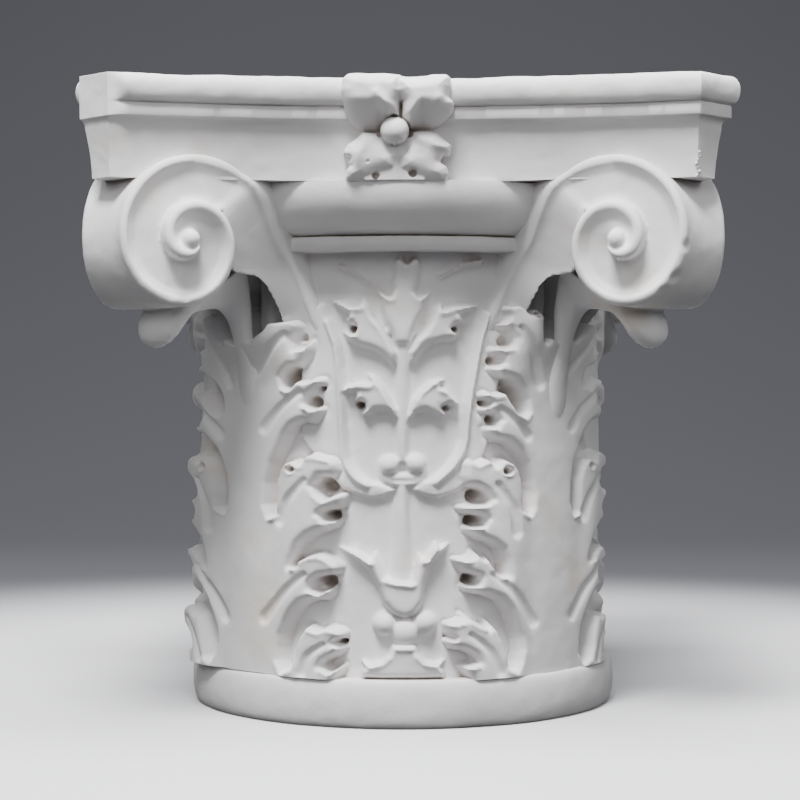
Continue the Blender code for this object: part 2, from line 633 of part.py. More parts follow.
def volute():
    """Two spiral discs and the hollow barrel between them, at the front right corner."""
    first_turn, steps, inner_rings, outer_rings, barrel_steps = -75, 120, 16, 12, 10
    start = spiral_radius(first_turn + FULL_TURN)
    columns = []
    for step in range(steps):
        turn = first_turn + FULL_TURN * step / steps
        rim = spiral_radius(turn)
        radii = [start * k / inner_rings for k in range(1, inner_rings + 1)]
        radii += [start + (rim - start) * k / outer_rings for k in range(1, outer_rings)]
        rises = [volute_rise(radius, turn) for radius in radii]
        rim_level = min(0.0, volute_rise(rim, turn))
        if step == steps - 1:
            rim_level = volute_rise(spiral_radius(first_turn), first_turn)
            rises[inner_rings:] = [rim_level] * (outer_rings - 1)
        column = [volute_point(radius, turn, rise) for radius, rise in zip(radii, rises)]
        edge = volute_point(rim, turn, rim_level)
        other = across_diagonal(edge)
        axis = volute_point(0.0, turn, 0.0).lerp(across_diagonal(volute_point(0.0, turn, 0.0)), 0.5)
        barrel = []
        for k in range(barrel_steps + 1):
            share = k / barrel_steps
            place = edge.lerp(other, share)
            inward = axis - place
            inward.normalize()
            waist = BARREL_HOLLOW * (0.4 + 0.6 * math.cos(math.radians(turn)))
            barrel.append(place + inward * waist * 4 * share * (1 - share))
        columns.append(column + barrel + [across_diagonal(point) for point in reversed(column)])
    sections = [[column[k] for column in columns] for k in range(len(columns[0]))]
    return lofted("volute", sections)


def strip_section(fillet, edge, thickness, hollow):
    """One section of the strip: a raised fillet, a hollow face and a straight back."""
    back = Vector((-fillet.x - edge.x, -fillet.y - edge.y, 0.0)).normalized()
    width = (edge - fillet).length
    steps = 12
    points = []
    for step in range(steps + 1):
        share = step / steps
        gap = share * width
        dish = VOLUTE_DISH * hollow * math.sin(math.pi * share)
        points.append(fillet.lerp(edge, share) - back * (VOLUTE_RIM_RISE * rim_share(gap, VOLUTE_RIM) - dish))
    return points + [edge + back * thickness, fillet + back * thickness]


def strip():
    """The band that climbs from the bell over the echinus to the front right spiral."""
    sections = []
    for turn, sink, hollow in STRIP_START:
        swell = 1 + STRIP_SWELL * max(0.0, -turn - 20) / 40
        fillet = volute_point(spiral_radius(turn) * swell, turn, -sink * MM)
        edge = volute_point(spiral_radius(turn + FULL_TURN), turn, -(sink + 1) * MM)
        sections.append(strip_section(fillet, edge, STRIP_DEPTH, hollow))
    edge_drop = 12
    for fillet_x, fillet_out, edge_x, edge_out, drop, depth in STRIP_DROP:
        fillet = Vector((fillet_x * MM, -fillet_out * MM, ECHINUS_FLOOR - drop * MM))
        edge = Vector((edge_x * MM, -edge_out * MM, ECHINUS_FLOOR - (drop + edge_drop) * MM))
        sections.append(strip_section(fillet, edge, depth * MM, 0.5))
    return lofted("strip", sections)


def tongue():
    """The stem of the corner leaf and the tongue that it ends in, on the diagonal."""
    places = [Vector((BELL_RADIUS + out * MM, 0.0, VOLUTE_FLOOR + up * MM)) for out, up, *_ in TONGUE]
    turn = Matrix.Rotation(-math.pi / 4, 4, "Z")
    around = 20
    sections = []
    for index, (place, (_, _, half, thickness, curl)) in enumerate(zip(places, TONGUE)):
        ahead = places[min(index + 1, len(places) - 1)] - places[max(index - 1, 0)]
        normal = Vector((-ahead.z, 0.0, ahead.x)).normalized()
        ring = []
        for step in range(around):
            angle = math.tau * step / around
            side = Vector((0.0, half * MM * math.cos(angle), curl * MM * math.cos(angle) ** 2))
            ring.append(turn @ (place + side + normal * thickness / 2 * MM * math.sin(angle)))
        sections.append(ring)
    return lofted("tongue", sections)


def rosette():
    """Four lobed petals round a bud, as a relief closed over its own back."""
    (left, low), (right, high) = (on_rosette(*corner) for corner in ROSETTE_CORNERS)
    across, up = np.meshgrid(np.linspace(left, right, ROSETTE_STEPS), np.linspace(low, high, ROSETTE_STEPS))
    middle = on_rosette(*ROSETTE_MIDDLE)
    gap = np.hypot(across - middle[0], up - middle[1])
    between = blend((ROSETTE_CORE_RADIUS - np.abs(across - middle[0])) / (6 * MM))
    out = ROSETTE_CORE * between * blend((middle[1] - up + 2 * MM) / (6 * MM))
    out = np.maximum(out, 0.7 * ROSETTE_CORE * blend((ROSETTE_CORE_RADIUS + 4 * MM - gap) / (6 * MM)))
    climb = blend((up - middle[1] + 3 * MM) / ROSETTE_CORE_RADIUS)
    upper = ROSETTE_ROOT + (ROSETTE_RISE + ROSETTE_LEAN - ROSETTE_ROOT) * climb
    for name, outline in PETALS.items():
        inside = within(across, up, [on_rosette(*point) for point in outline])[0]
        full = upper if name.startswith("upper") else ROSETTE_RISE
        out = np.maximum(out, full * (0.55 + 0.45 * rounded(inside, PETAL_EDGE)) * blend(inside / VOXEL + 0.6))
    bud = ROSETTE_RISE + np.sqrt(np.clip(BUD_RADIUS**2 - gap**2, 0.0, None))
    out = np.where(gap < BUD_RADIUS, np.maximum(out, bud), out)
    face = ABACUS_REACH - ABACUS_HOLLOW - ROSETTE_INSET
    back = [Vector((x, 2 * MM - face, z)) for x, z in zip(across.ravel(), up.ravel())]
    front = [Vector((x, -face - rise, z)) for x, z, rise in zip(across.ravel(), up.ravel(), out.ravel())]
    return sheet(front, back)


def sheet(front, back):
    """A closed mesh between two square grids of places, one behind the other."""
    form = bmesh.new()
    grids = [[form.verts.new(point) for point in points] for points in (front, back)]
    for points in grids:
        for row in range(ROSETTE_STEPS - 1):
            for column in range(ROSETTE_STEPS - 1):
                here = row * ROSETTE_STEPS + column
                above = here + ROSETTE_STEPS
                form.faces.new((points[here], points[here + 1], points[above + 1], points[above]))
    last = ROSETTE_STEPS - 1
    edge = [(0, k) for k in range(last)] + [(k, last) for k in range(last)]
    edge += [(last, last - k) for k in range(last)] + [(last - k, 0) for k in range(last)]
    index = [row * ROSETTE_STEPS + column for row, column in edge]
    for here, there in zip(index, index[1:] + index[:1]):
        form.faces.new((grids[0][here], grids[0][there], grids[1][there], grids[1][here]))
    bmesh.ops.recalc_face_normals(form, faces=form.faces)
    mesh = bpy.data.meshes.new("rosette")
    form.to_mesh(mesh)
    form.free()
    return mesh


def around_axis(mesh, mirrored=False):
    """The four quarter turns of a mesh, and of its mirror image across the diagonal."""
    swap = Matrix(((0, -1, 0, 0), (-1, 0, 0, 0), (0, 0, 1, 0), (0, 0, 0, 1)))
    for quarter in range(4):
        turn = Matrix.Rotation(quarter * math.pi / 2, 4, "Z")
        yield mesh, turn
        if mirrored:
            yield mesh, turn @ swap


def fused(placed):
    """One skin over every form, with the faces inside the casting gone."""
    form = bmesh.new()
    for mesh, place in placed:
        copy = mesh.copy()
        copy.transform(place)
        if place.determinant() < 0:
            copy.flip_normals()
        form.from_mesh(copy)
        bpy.data.meshes.remove(copy)
    joined = bpy.data.meshes.new("joined")
    form.to_mesh(joined)
    form.free()
    casting = bpy.data.objects.new("casting", joined)
    bpy.context.scene.collection.objects.link(casting)
    skin = casting.modifiers.new("skin", "REMESH")
    skin.mode = "VOXEL"
    skin.voxel_size = VOXEL
    skin.adaptivity = 0.0
    skinned = evaluated(casting)
    thinned = bpy.data.objects.new("thinned", skinned)
    bpy.context.scene.collection.objects.link(thinned)
    thin = thinned.modifiers.new("thin", "DECIMATE")
    thin.ratio = TRIANGLES / (2 * len(skinned.polygons))
    return evaluated(thinned)


def seated(mesh):
    """Flatten the top and the underside, and keep only the outer skin."""
    form = bmesh.new()
    form.from_mesh(mesh)
    for level in (0.0, HEIGHT):
        for vert in form.verts:
            if abs(vert.co.z - level) < SEAT_REACH:
                vert.co.z = level
    islands = []
    left = set(form.verts)
    while left:
        island, edge = set(), [left.pop()]
        while edge:
            vert = edge.pop()
            island.add(vert)
            for link in vert.link_edges:
                other = link.other_vert(vert)
                if other in left:
                    left.discard(other)
                    edge.append(other)
        islands.append(island)
    islands.sort(key=len)
    for island in islands[:-1]:
        bmesh.ops.delete(form, geom=list(island), context="VERTS")
    bmesh.ops.triangulate(form, faces=form.faces)
    bmesh.ops.recalc_face_normals(form, faces=form.faces)
    form.to_mesh(mesh)
    form.free()
    return mesh


def plaster():
    """Matt white casting plaster."""
    material = bpy.data.materials.new("casting_plaster")
    material.use_nodes = True
    shader = material.node_tree.nodes["Principled BSDF"]
    shader.inputs["Base Color"].default_value = PLASTER
    shader.inputs["Roughness"].default_value = 0.85
    shader.inputs["Metallic"].default_value = 0.0
    return material


def main():
    """Build the capital as one solid."""
    clear_scene()
    upright = Matrix.Identity(4)
    placed = [(turned_body(), upright), (abacus(), upright)]
    placed += around_axis(volute())
    placed += around_axis(strip(), mirrored=True)
    placed += around_axis(tongue())
    placed += around_axis(rosette())
    mesh = seated(fused(placed))
    mesh.name = "capital"
    mesh.materials.clear()
    mesh.materials.append(plaster())
    mesh.shade_flat()
    capital = bpy.data.objects.new("capital", mesh)
    collection = bpy.data.collections.new("capital")
    bpy.context.scene.collection.children.link(collection)
    collection.objects.link(capital)


main()
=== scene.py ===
"""A cast plaster capital: its carving, its wear and its finish.

The capital is one casting. It is dressed in five overlapping pieces of the
same plaster, so that each may carry fine carving: the turned bell with its
leaves and panels, the volutes with their strips, the abacus, the rosettes and
the seam beads. All lengths are in metres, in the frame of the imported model.
"""

import logging
import math
from collections.abc import Iterable, Sequence
from dataclasses import dataclass
from enum import Enum

import bmesh
import bpy
import numpy as np
from mathutils import Matrix, Vector

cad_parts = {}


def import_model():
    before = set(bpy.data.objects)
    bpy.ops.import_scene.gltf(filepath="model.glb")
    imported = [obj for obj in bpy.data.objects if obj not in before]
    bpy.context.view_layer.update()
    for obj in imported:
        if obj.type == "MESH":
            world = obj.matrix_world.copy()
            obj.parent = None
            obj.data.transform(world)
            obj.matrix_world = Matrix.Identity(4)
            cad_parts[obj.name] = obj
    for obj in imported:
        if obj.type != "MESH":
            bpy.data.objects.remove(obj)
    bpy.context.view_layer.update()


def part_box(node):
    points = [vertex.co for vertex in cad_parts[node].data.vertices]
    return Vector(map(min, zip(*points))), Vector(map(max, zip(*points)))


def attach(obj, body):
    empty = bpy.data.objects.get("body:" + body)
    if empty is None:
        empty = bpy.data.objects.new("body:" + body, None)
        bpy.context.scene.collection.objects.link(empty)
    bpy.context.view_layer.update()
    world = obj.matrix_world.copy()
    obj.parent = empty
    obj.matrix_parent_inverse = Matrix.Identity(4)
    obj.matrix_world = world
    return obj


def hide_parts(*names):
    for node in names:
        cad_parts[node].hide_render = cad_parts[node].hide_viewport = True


MM = 0.001
QUARTER = math.pi / 2
ABACUS_HEIGHT = 69.5 * MM
VOLUTE_RISE_INTO_ABACUS = 16 * MM
# The beads that the mould's seams left: their spacing and radius, and how their sizes vary
BEAD_SPACING = 2.6 * MM
BEAD_RADIUS = 1.0 * MM
BEAD_SHARES = (0.5, 1.25)
BEAD_SEED = 5
BEADED_CORNERS = (0, 2)
LOG = logging.getLogger("capital")

Array = np.ndarray
Drawn = tuple[float, float]


class Axis(Enum):
    """What a form repeats about."""

    UPRIGHT = (0.0, 0.0, 1.0)


@dataclass(frozen=True)
class Stroke:
    """A gouge ridge on the elevation.

    The points are places on the drawn face, and the half-widths are in
    millimetres on the bell, at the start and at the end.
    """

    points: tuple[Drawn, ...]
    start: float
    end: float


@dataclass(frozen=True)
class Leaf:
    """A carved form's outline on the elevation."""

    points: tuple[Drawn, ...]


@dataclass(frozen=True)
class Spot:
    """A ball or a drilled hollow on the elevation, its radius in millimetres."""

    x: float
    y: float
    radius: float


@dataclass(frozen=True)
class Elevation:
    """The drawing that the carving of a face is set out on.

    Its unit is a 578th of the capital's height at the capital's axis, and it
    is seen from 1950 units away, so places near its sides lie further round.
    """

    height: float = 578.0
    distance: float = 1950.0
    axis: float = 403.0
    eye_level: float = 380.0
    eye_height: float = 313.6
    bell_radius: float = 198.0

    def place(self, x: float, y: float) -> tuple[float, float]:
        """Turn a drawn point into a place on the bell.

        Args:
            x: The point's distance from the drawing's left side.
            y: The point's distance down from the drawing's top.

        Returns:
            The angle round the bell from the face's axis, and the height as a
            share of the capital's height.
        """
        across = x - self.axis
        angle = 0.0
        for _ in range(14):
            depth = self.bell_radius * math.cos(angle)
            sine = across * (self.distance - depth) / self.distance / self.bell_radius
            angle = math.asin(max(-0.999, min(0.999, sine)))
        depth = self.bell_radius * math.cos(angle)
        rise = (self.eye_level - y) * (self.distance - depth) / self.distance
        return angle, (rise + self.eye_height) / self.height


ELEVATION = Elevation()
# The outlines of one face's carving, drawn on the elevation
LEFT_LEAF = Leaf(
    (
        (238, 262), (259, 266), (262, 300), (260, 330), (262, 339), (267, 334), (273, 330), (278, 322),
        (288, 321), (299, 320), (304, 326), (302, 334), (297, 340), (299, 349), (306, 348), (314, 338),
        (314, 350), (310, 359), (305, 365), (300, 368), (294, 368), (285, 378), (286, 386), (292, 389),
        (300, 380), (309, 382), (318, 378), (325, 378), (327, 384), (320, 390), (310, 397), (309, 404),
        (316, 409), (324, 407), (325, 411), (320, 419), (315, 424), (305, 422), (295, 427), (287, 436),
        (281, 449), (274, 464), (270, 484), (269, 505), (272, 516), (277, 515), (277, 500), (278, 484),
        (282, 470), (288, 462), (295, 460), (303, 464), (307, 456), (315, 453), (324, 456), (334, 458),
        (339, 464), (340, 471), (336, 477), (322, 477), (316, 486), (319, 493), (326, 499), (338, 494),
        (346, 493), (346, 501), (343, 507), (330, 511), (323, 514), (326, 520), (334, 521), (341, 519),
        (336, 527), (327, 530), (319, 532), (310, 537), (303, 544), (299, 551), (296, 559), (294, 566),
        (298, 566), (300, 560), (310, 555), (321, 553), (331, 557), (339, 564), (341, 568), (338, 575),
        (322, 577), (313, 583), (313, 588), (321, 593), (333, 587), (333, 594), (326, 600), (314, 600),
        (303, 604), (295, 613), (289, 623), (284, 635), (282, 647), (281, 660), (285, 671), (292, 668),
        (296, 659), (298, 647), (301, 637), (309, 625), (321, 630), (327, 627), (338, 628), (346, 633),
        (344, 640), (336, 643), (345, 648), (343, 652), (336, 657), (327, 661), (324, 666), (331, 671),
        (343, 665), (343, 671), (338, 679), (338, 690), (238, 690),
    ),
)
RIGHT_LEAF = Leaf(
    (
        (562, 262), (545, 266), (543, 300), (541, 330), (537, 341), (535, 330), (534, 316), (531, 309),
        (525, 308), (521, 312), (517, 306), (512, 304), (507, 306), (503, 304), (499, 307), (498, 311),
        (502, 317), (500, 322), (494, 325), (497, 329), (505, 331), (509, 339), (508, 346), (500, 348),
        (489, 347), (488, 354), (497, 357), (498, 363), (493, 367), (486, 367), (488, 371), (491, 374),
        (499, 378), (505, 378), (512, 382), (519, 390), (524, 401), (525, 411), (522, 416), (515, 412),
        (508, 402), (502, 392), (498, 393), (491, 394), (484, 391), (477, 394), (478, 400), (485, 403),
        (484, 407), (477, 409), (480, 413), (492, 414), (496, 420), (493, 426), (483, 427), (484, 432),
        (486, 437), (492, 440), (505, 442), (516, 452), (523, 465), (528, 481), (530, 495), (529, 508),
        (527, 514), (522, 511), (522, 496), (520, 482), (516, 470), (511, 463), (504, 459), (498, 459),
        (493, 466), (491, 461), (484, 458), (475, 463), (467, 458), (462, 464), (461, 477), (463, 486),
        (473, 487), (482, 492), (487, 499), (484, 503), (476, 504), (466, 505), (457, 507), (461, 512),
        (472, 515), (482, 519), (480, 525), (465, 527), (466, 532), (476, 538), (489, 543), (498, 550),
        (502, 561), (504, 575), (499, 575), (496, 572), (490, 564), (485, 555), (482, 559), (473, 550),
        (470, 557), (453, 559), (457, 566), (464, 573), (476, 577), (476, 584), (462, 586), (464, 591),
        (473, 593), (485, 595), (498, 600), (507, 611), (512, 624), (517, 638), (518, 650), (516, 661),
        (512, 670), (507, 668), (506, 659), (501, 643), (496, 631), (484, 617), (485, 627), (478, 624),
        (460, 613), (463, 619), (445, 624), (448, 634), (446, 643), (450, 649), (462, 650), (472, 656),
        (475, 662), (468, 665), (459, 666), (463, 672), (468, 679), (468, 690), (562, 690),
    ),
)
STRIPS = {
    "left": Leaf(
        (
            (320, 304), (335, 349), (338, 384), (341, 440), (342, 460), (348, 468), (356, 479), (367, 483),
            (377, 483), (386, 486), (396, 490), (389, 495), (380, 498), (369, 499), (358, 496), (345, 491),
            (330, 480), (300, 440), (290, 390), (280, 330), (285, 312),
        ),
    ),
    "right": Leaf(
        (
            (496, 300), (481, 342), (474, 379), (468, 419), (466, 446), (458, 459), (445, 474), (434, 480),
            (424, 481), (411, 490), (422, 495), (436, 498), (450, 494), (466, 488), (480, 470), (500, 420),
            (515, 380), (530, 340), (522, 312),
        ),
    ),
}
PALMETTES = {
    "flower": Leaf(
        (
            (394, 346), (391, 334), (384, 322), (381, 311), (380, 299), (373, 289), (383, 294), (390, 297),
            (392, 291), (391, 283), (395, 273), (394, 262), (400, 257), (407, 264), (414, 257), (421, 262),
            (419, 280), (416, 292), (419, 297), (426, 294), (432, 289), (427, 302), (425, 311), (418, 322),
            (413, 334), (411, 346),
        ),
    ),
    "upper_left": Leaf(
        (
            (395, 369), (387, 361), (379, 353), (370, 349), (357, 346), (346, 339), (340, 332), (353, 334),
            (355, 329), (349, 324), (342, 320), (348, 317), (344, 312), (335, 306), (327, 302), (340, 302),
            (352, 307), (359, 306), (360, 298), (368, 306), (374, 318), (383, 328), (390, 340), (397, 354),
        ),
    ),
    "upper_right": Leaf(
        (
            (411, 367), (421, 353), (429, 346), (443, 341), (453, 341), (460, 335), (454, 332), (454, 327),
            (469, 321), (461, 318), (465, 313), (482, 306), (471, 305), (455, 306), (443, 310), (443, 302),
            (435, 309), (430, 323), (425, 332), (415, 340), (408, 353),
        ),
    ),
    "lower_left": Leaf(
        (
            (397, 422), (387, 412), (376, 411), (368, 416), (358, 415), (364, 410), (363, 404), (350, 401),
            (355, 397), (352, 394), (340, 392), (346, 386), (357, 383), (368, 384), (370, 382), (366, 372),
            (374, 378), (383, 387), (390, 398), (397, 411),
        ),
    ),
    "lower_right": Leaf(
        (
            (406, 423), (412, 401), (419, 391), (431, 381), (449, 379), (440, 383), (441, 387), (449, 391),
            (455, 398), (461, 406), (451, 406), (449, 412), (443, 418), (435, 416), (426, 411), (416, 413),
            (409, 421),
        ),
    ),
    "calyx": Leaf(
        (
            (331, 546), (353, 551), (362, 556), (370, 561), (374, 552), (381, 567), (385, 578), (394, 581),
            (411, 583), (416, 564), (420, 552), (422, 559), (426, 559), (431, 551), (437, 542), (440, 548),
            (453, 543), (441, 554), (430, 569), (425, 586), (423, 604), (416, 615), (405, 620), (392, 615),
            (383, 604), (378, 589), (370, 575), (358, 562), (345, 553),
        ),
    ),
    "foot": Leaf(
        (
            (392, 646), (388, 655), (381, 662), (370, 665), (359, 661), (363, 668), (360, 673), (360, 680),
            (446, 680), (446, 673), (441, 668), (448, 660), (437, 664), (426, 662), (419, 655), (416, 646),
        ),
    ),
}
STEMS = {
    "upper": Stroke(((402, 460), (402, 400), (403, 340)), 3.7, 6.0),
    "lower": Stroke(((402, 488), (401, 530), (400, 580)), 3.8, 8.0),
    "knot": Stroke(((388, 478), (416, 478)), 3.6, 3.6),
    "knot_under": Stroke(((392, 484), (412, 484)), 2.6, 2.6),
    "left_curl": Stroke(((380, 470), (383, 480), (390, 484)), 2.6, 2.0),
    "right_curl": Stroke(((424, 470), (421, 480), (414, 484)), 2.6, 2.0),
    "upper_left_vein": Stroke(((392, 360), (372, 336), (350, 314)), 2.6, 1.4),
    "upper_right_vein": Stroke(((414, 358), (434, 332), (462, 311)), 2.6, 1.4),
}
CREASES = {
    "left_fifth": Stroke(((262, 372), (276, 352), (292, 334)), 4.5, 2.4),
    "left_fourth": Stroke(((268, 428), (284, 408), (304, 392)), 4.5, 2.4),
    "left_third": Stroke(((284, 520), (292, 500), (308, 480)), 4.5, 2.4),
    "left_second": Stroke(((268, 618), (288, 592), (308, 574)), 4.5, 2.4),
    "left_foot": Stroke(((306, 672), (312, 655), (326, 644)), 3.5, 2.0),
    "right_fifth": Stroke(((536, 384), (526, 352), (514, 328)), 4.5, 2.4),
    "right_fourth": Stroke(((524, 436), (510, 420), (496, 408)), 4.0, 2.2),
    "right_third": Stroke(((512, 532), (508, 508), (494, 484)), 4.5, 2.4),
    "right_second": Stroke(((530, 622), (512, 594), (490, 574)), 4.5, 2.4),
    "right_foot": Stroke(((496, 672), (486, 650), (468, 634)), 3.5, 2.0),
}
HOLLOWS = {
    "left_fifth": Spot(303, 338, 2.6),
    "left_fourth_small": Spot(321, 388, 2.0),
    "left_fourth": Spot(315, 402, 4.6),
    "left_curl": Spot(295, 469, 2.4),
    "left_third": Spot(327, 486, 6.0),
    "left_third_lower": Spot(331, 515, 4.0),
    "left_second": Spot(325, 582, 5.4),
    "left_foot": Spot(340, 642, 2.6),
    "left_pipe": Spot(296, 564, 2.2),
    "right_fifth_curl": Spot(527, 315, 2.3),
    "right_fifth": Spot(499, 320, 2.6),
    "right_fifth_middle": Spot(504, 341, 3.8),
    "right_fifth_lower": Spot(492, 361, 3.2),
    "right_fourth": Spot(483, 403, 2.6),
    "right_fourth_lower": Spot(491, 420, 3.2),
    "right_curl": Spot(503, 471, 2.6),
    "right_third": Spot(476, 496, 5.0),
    "right_third_lower": Spot(473, 521, 4.4),
    "right_second": Spot(471, 580, 4.6),
    "right_foot": Spot(450, 638, 2.8),
    "upper_left_leaf": Spot(352, 328, 2.6),
    "upper_right_leaf": Spot(455, 329, 2.4),
    "lower_left_leaf": Spot(358, 405, 3.0),
    "lower_right_leaf": Spot(446, 408, 3.4),
}
BALLS = {
    "middle_berry": Spot(405, 634, 10.2),
    "left_berry": Spot(384, 625, 8.4),
    "right_berry": Spot(425, 624, 8.2),
    "left_knot_scroll": Spot(388, 466, 7.4),
    "right_knot_scroll": Spot(416, 465, 7.4),
    "left_bud": Spot(388, 331, 2.8),
    "right_bud": Spot(413, 332, 2.4),
}
FILLETS = {
    "left": Stroke(
        ((326, 322), (331, 336), (335, 349), (338, 384), (341, 440), (344, 462), (354, 478), (366, 486)),
        2.6,
        3.2,
    ),
    "right": Stroke(
        ((489, 314), (485, 328), (481, 342), (474, 379), (468, 419), (465, 446), (454, 466), (436, 483)),
        2.6,
        3.2,
    ),
    "left_bead": Stroke(((339, 266), (350, 271), (370, 283)), 1.6, 1.2),
    "right_bead": Stroke(((482, 261), (462, 265), (440, 276)), 1.6, 1.2),
}
PITS = {
    "left": Leaf(
        (
            (225, 262), (262, 276), (272, 291), (279, 304), (283, 316), (274, 327), (266, 333), (250, 345),
            (225, 350),
        )
    ),
    "right": Leaf(
        (
            (575, 262), (546, 272), (531, 287), (525, 306), (532, 312), (536, 334), (552, 345), (575, 350),
        )
    ),
}
TEARS = {
    "left": Leaf(
        (
            (286, 373), (292, 368), (299, 367), (299, 373), (298, 379), (294, 384), (289, 388), (285, 384),
        )
    ),
    "right": Leaf(
        (
            (502, 378), (510, 382), (518, 392), (522.5, 403), (522, 411), (519, 414), (515, 411),
            (511, 402), (507, 399), (499, 389),
        ),
    ),
}
ROSETTE_MIDDLE = (394.3, 130.5)
PETALS = {
    "upper_left": Leaf(
        (
            (399.6, 117), (400.6, 102), (405, 92), (404, 82), (401, 73), (384, 70), (370, 70.5), (356, 69),
            (347, 71), (341, 77), (339, 90), (341, 100), (342, 104), (344, 114), (350, 122), (362, 128.6),
            (378, 129.2), (386, 121), (392, 114.5),
        ),
    ),
    "upper_right": Leaf(
        (
            (400.6, 117), (400.4, 102), (394, 92), (394, 82), (395, 74), (410, 75), (424, 74), (434, 72),
            (446, 72), (451, 76), (452, 86), (450, 96), (454, 100), (455, 106), (452, 113), (441, 122),
            (431, 126.5), (410, 127), (402, 118),
        ),
    ),
    "lower_left": Leaf(
        (
            (362, 130), (355, 136), (346, 142), (342, 150), (344, 157), (348, 164), (345, 168),
            (343.5, 176), (348, 180.5), (367, 180.5), (373, 176), (384, 171), (396, 168), (396.5, 152),
            (390, 146), (380, 136), (376, 130.6),
        ),
    ),
    "lower_right": Leaf(
        (
            (412, 129), (408.5, 140), (404, 148), (398.5, 152), (397, 168), (406, 173), (416, 177),
            (422, 181), (430, 182), (446, 180), (449, 172), (447, 164), (440, 159), (442.5, 153),
            (450, 152), (452, 143), (444, 136), (437, 129.5), (420, 128.4),
        ),
    ),
}
PETAL_HOLES = (Spot(346.5, 157, 2.6), Spot(375, 173.5, 2.6), Spot(412.5, 171, 2.8), Spot(367, 160, 1.1))
PETAL_FOLDS = (
    Stroke(((376, 94), (392, 115)), 3.5, 1.6),
    Stroke(((440, 98), (424, 118)), 3.5, 1.4),
    Stroke(((364, 134), (352, 170)), 3.5, 1.6),
    Stroke(((420, 135), (440, 146)), 4.0, 1.6),
)


def ease(value: Array) -> Array:
    """Ease each number from 0 to 1."""
    value = np.clip(value, 0.0, 1.0)
    return value * value * (3.0 - 2.0 * value)


def linear(colour: str) -> tuple[float, float, float, float]:
    """Turn an sRGB hex colour to linear values.

    Args:
        colour: Six hex digits after a hash mark.

    Returns:
        Red, green and blue in linear light, and an alpha of one.
    """
    parts = [int(colour[i : i + 2], 16) / 255 for i in (1, 3, 5)]
    light = [c / 12.92 if c <= 0.04045 else ((c + 0.055) / 1.055) ** 2.4 for c in parts]
    return light[0], light[1], light[2], 1.0


def add_node(
    tree: bpy.types.NodeTree, kind: str, links: dict | None = None, **settings: object
) -> bpy.types.Node:
    """Add one node to a tree.

    Args:
        tree: The tree that the node goes in.
        kind: The node's Blender type.
        links: For each input, by name or number, a socket to link or a value.
        settings: The node's own properties.

    Returns:
        The new node.
    """
    node = tree.nodes.new(kind)
    for name, value in settings.items():
        setattr(node, name, value)
    for name, value in (links or {}).items():
        if isinstance(value, bpy.types.NodeSocket):
            tree.links.new(value, node.inputs[name])
        else:
            node.inputs[name].default_value = value
    return node


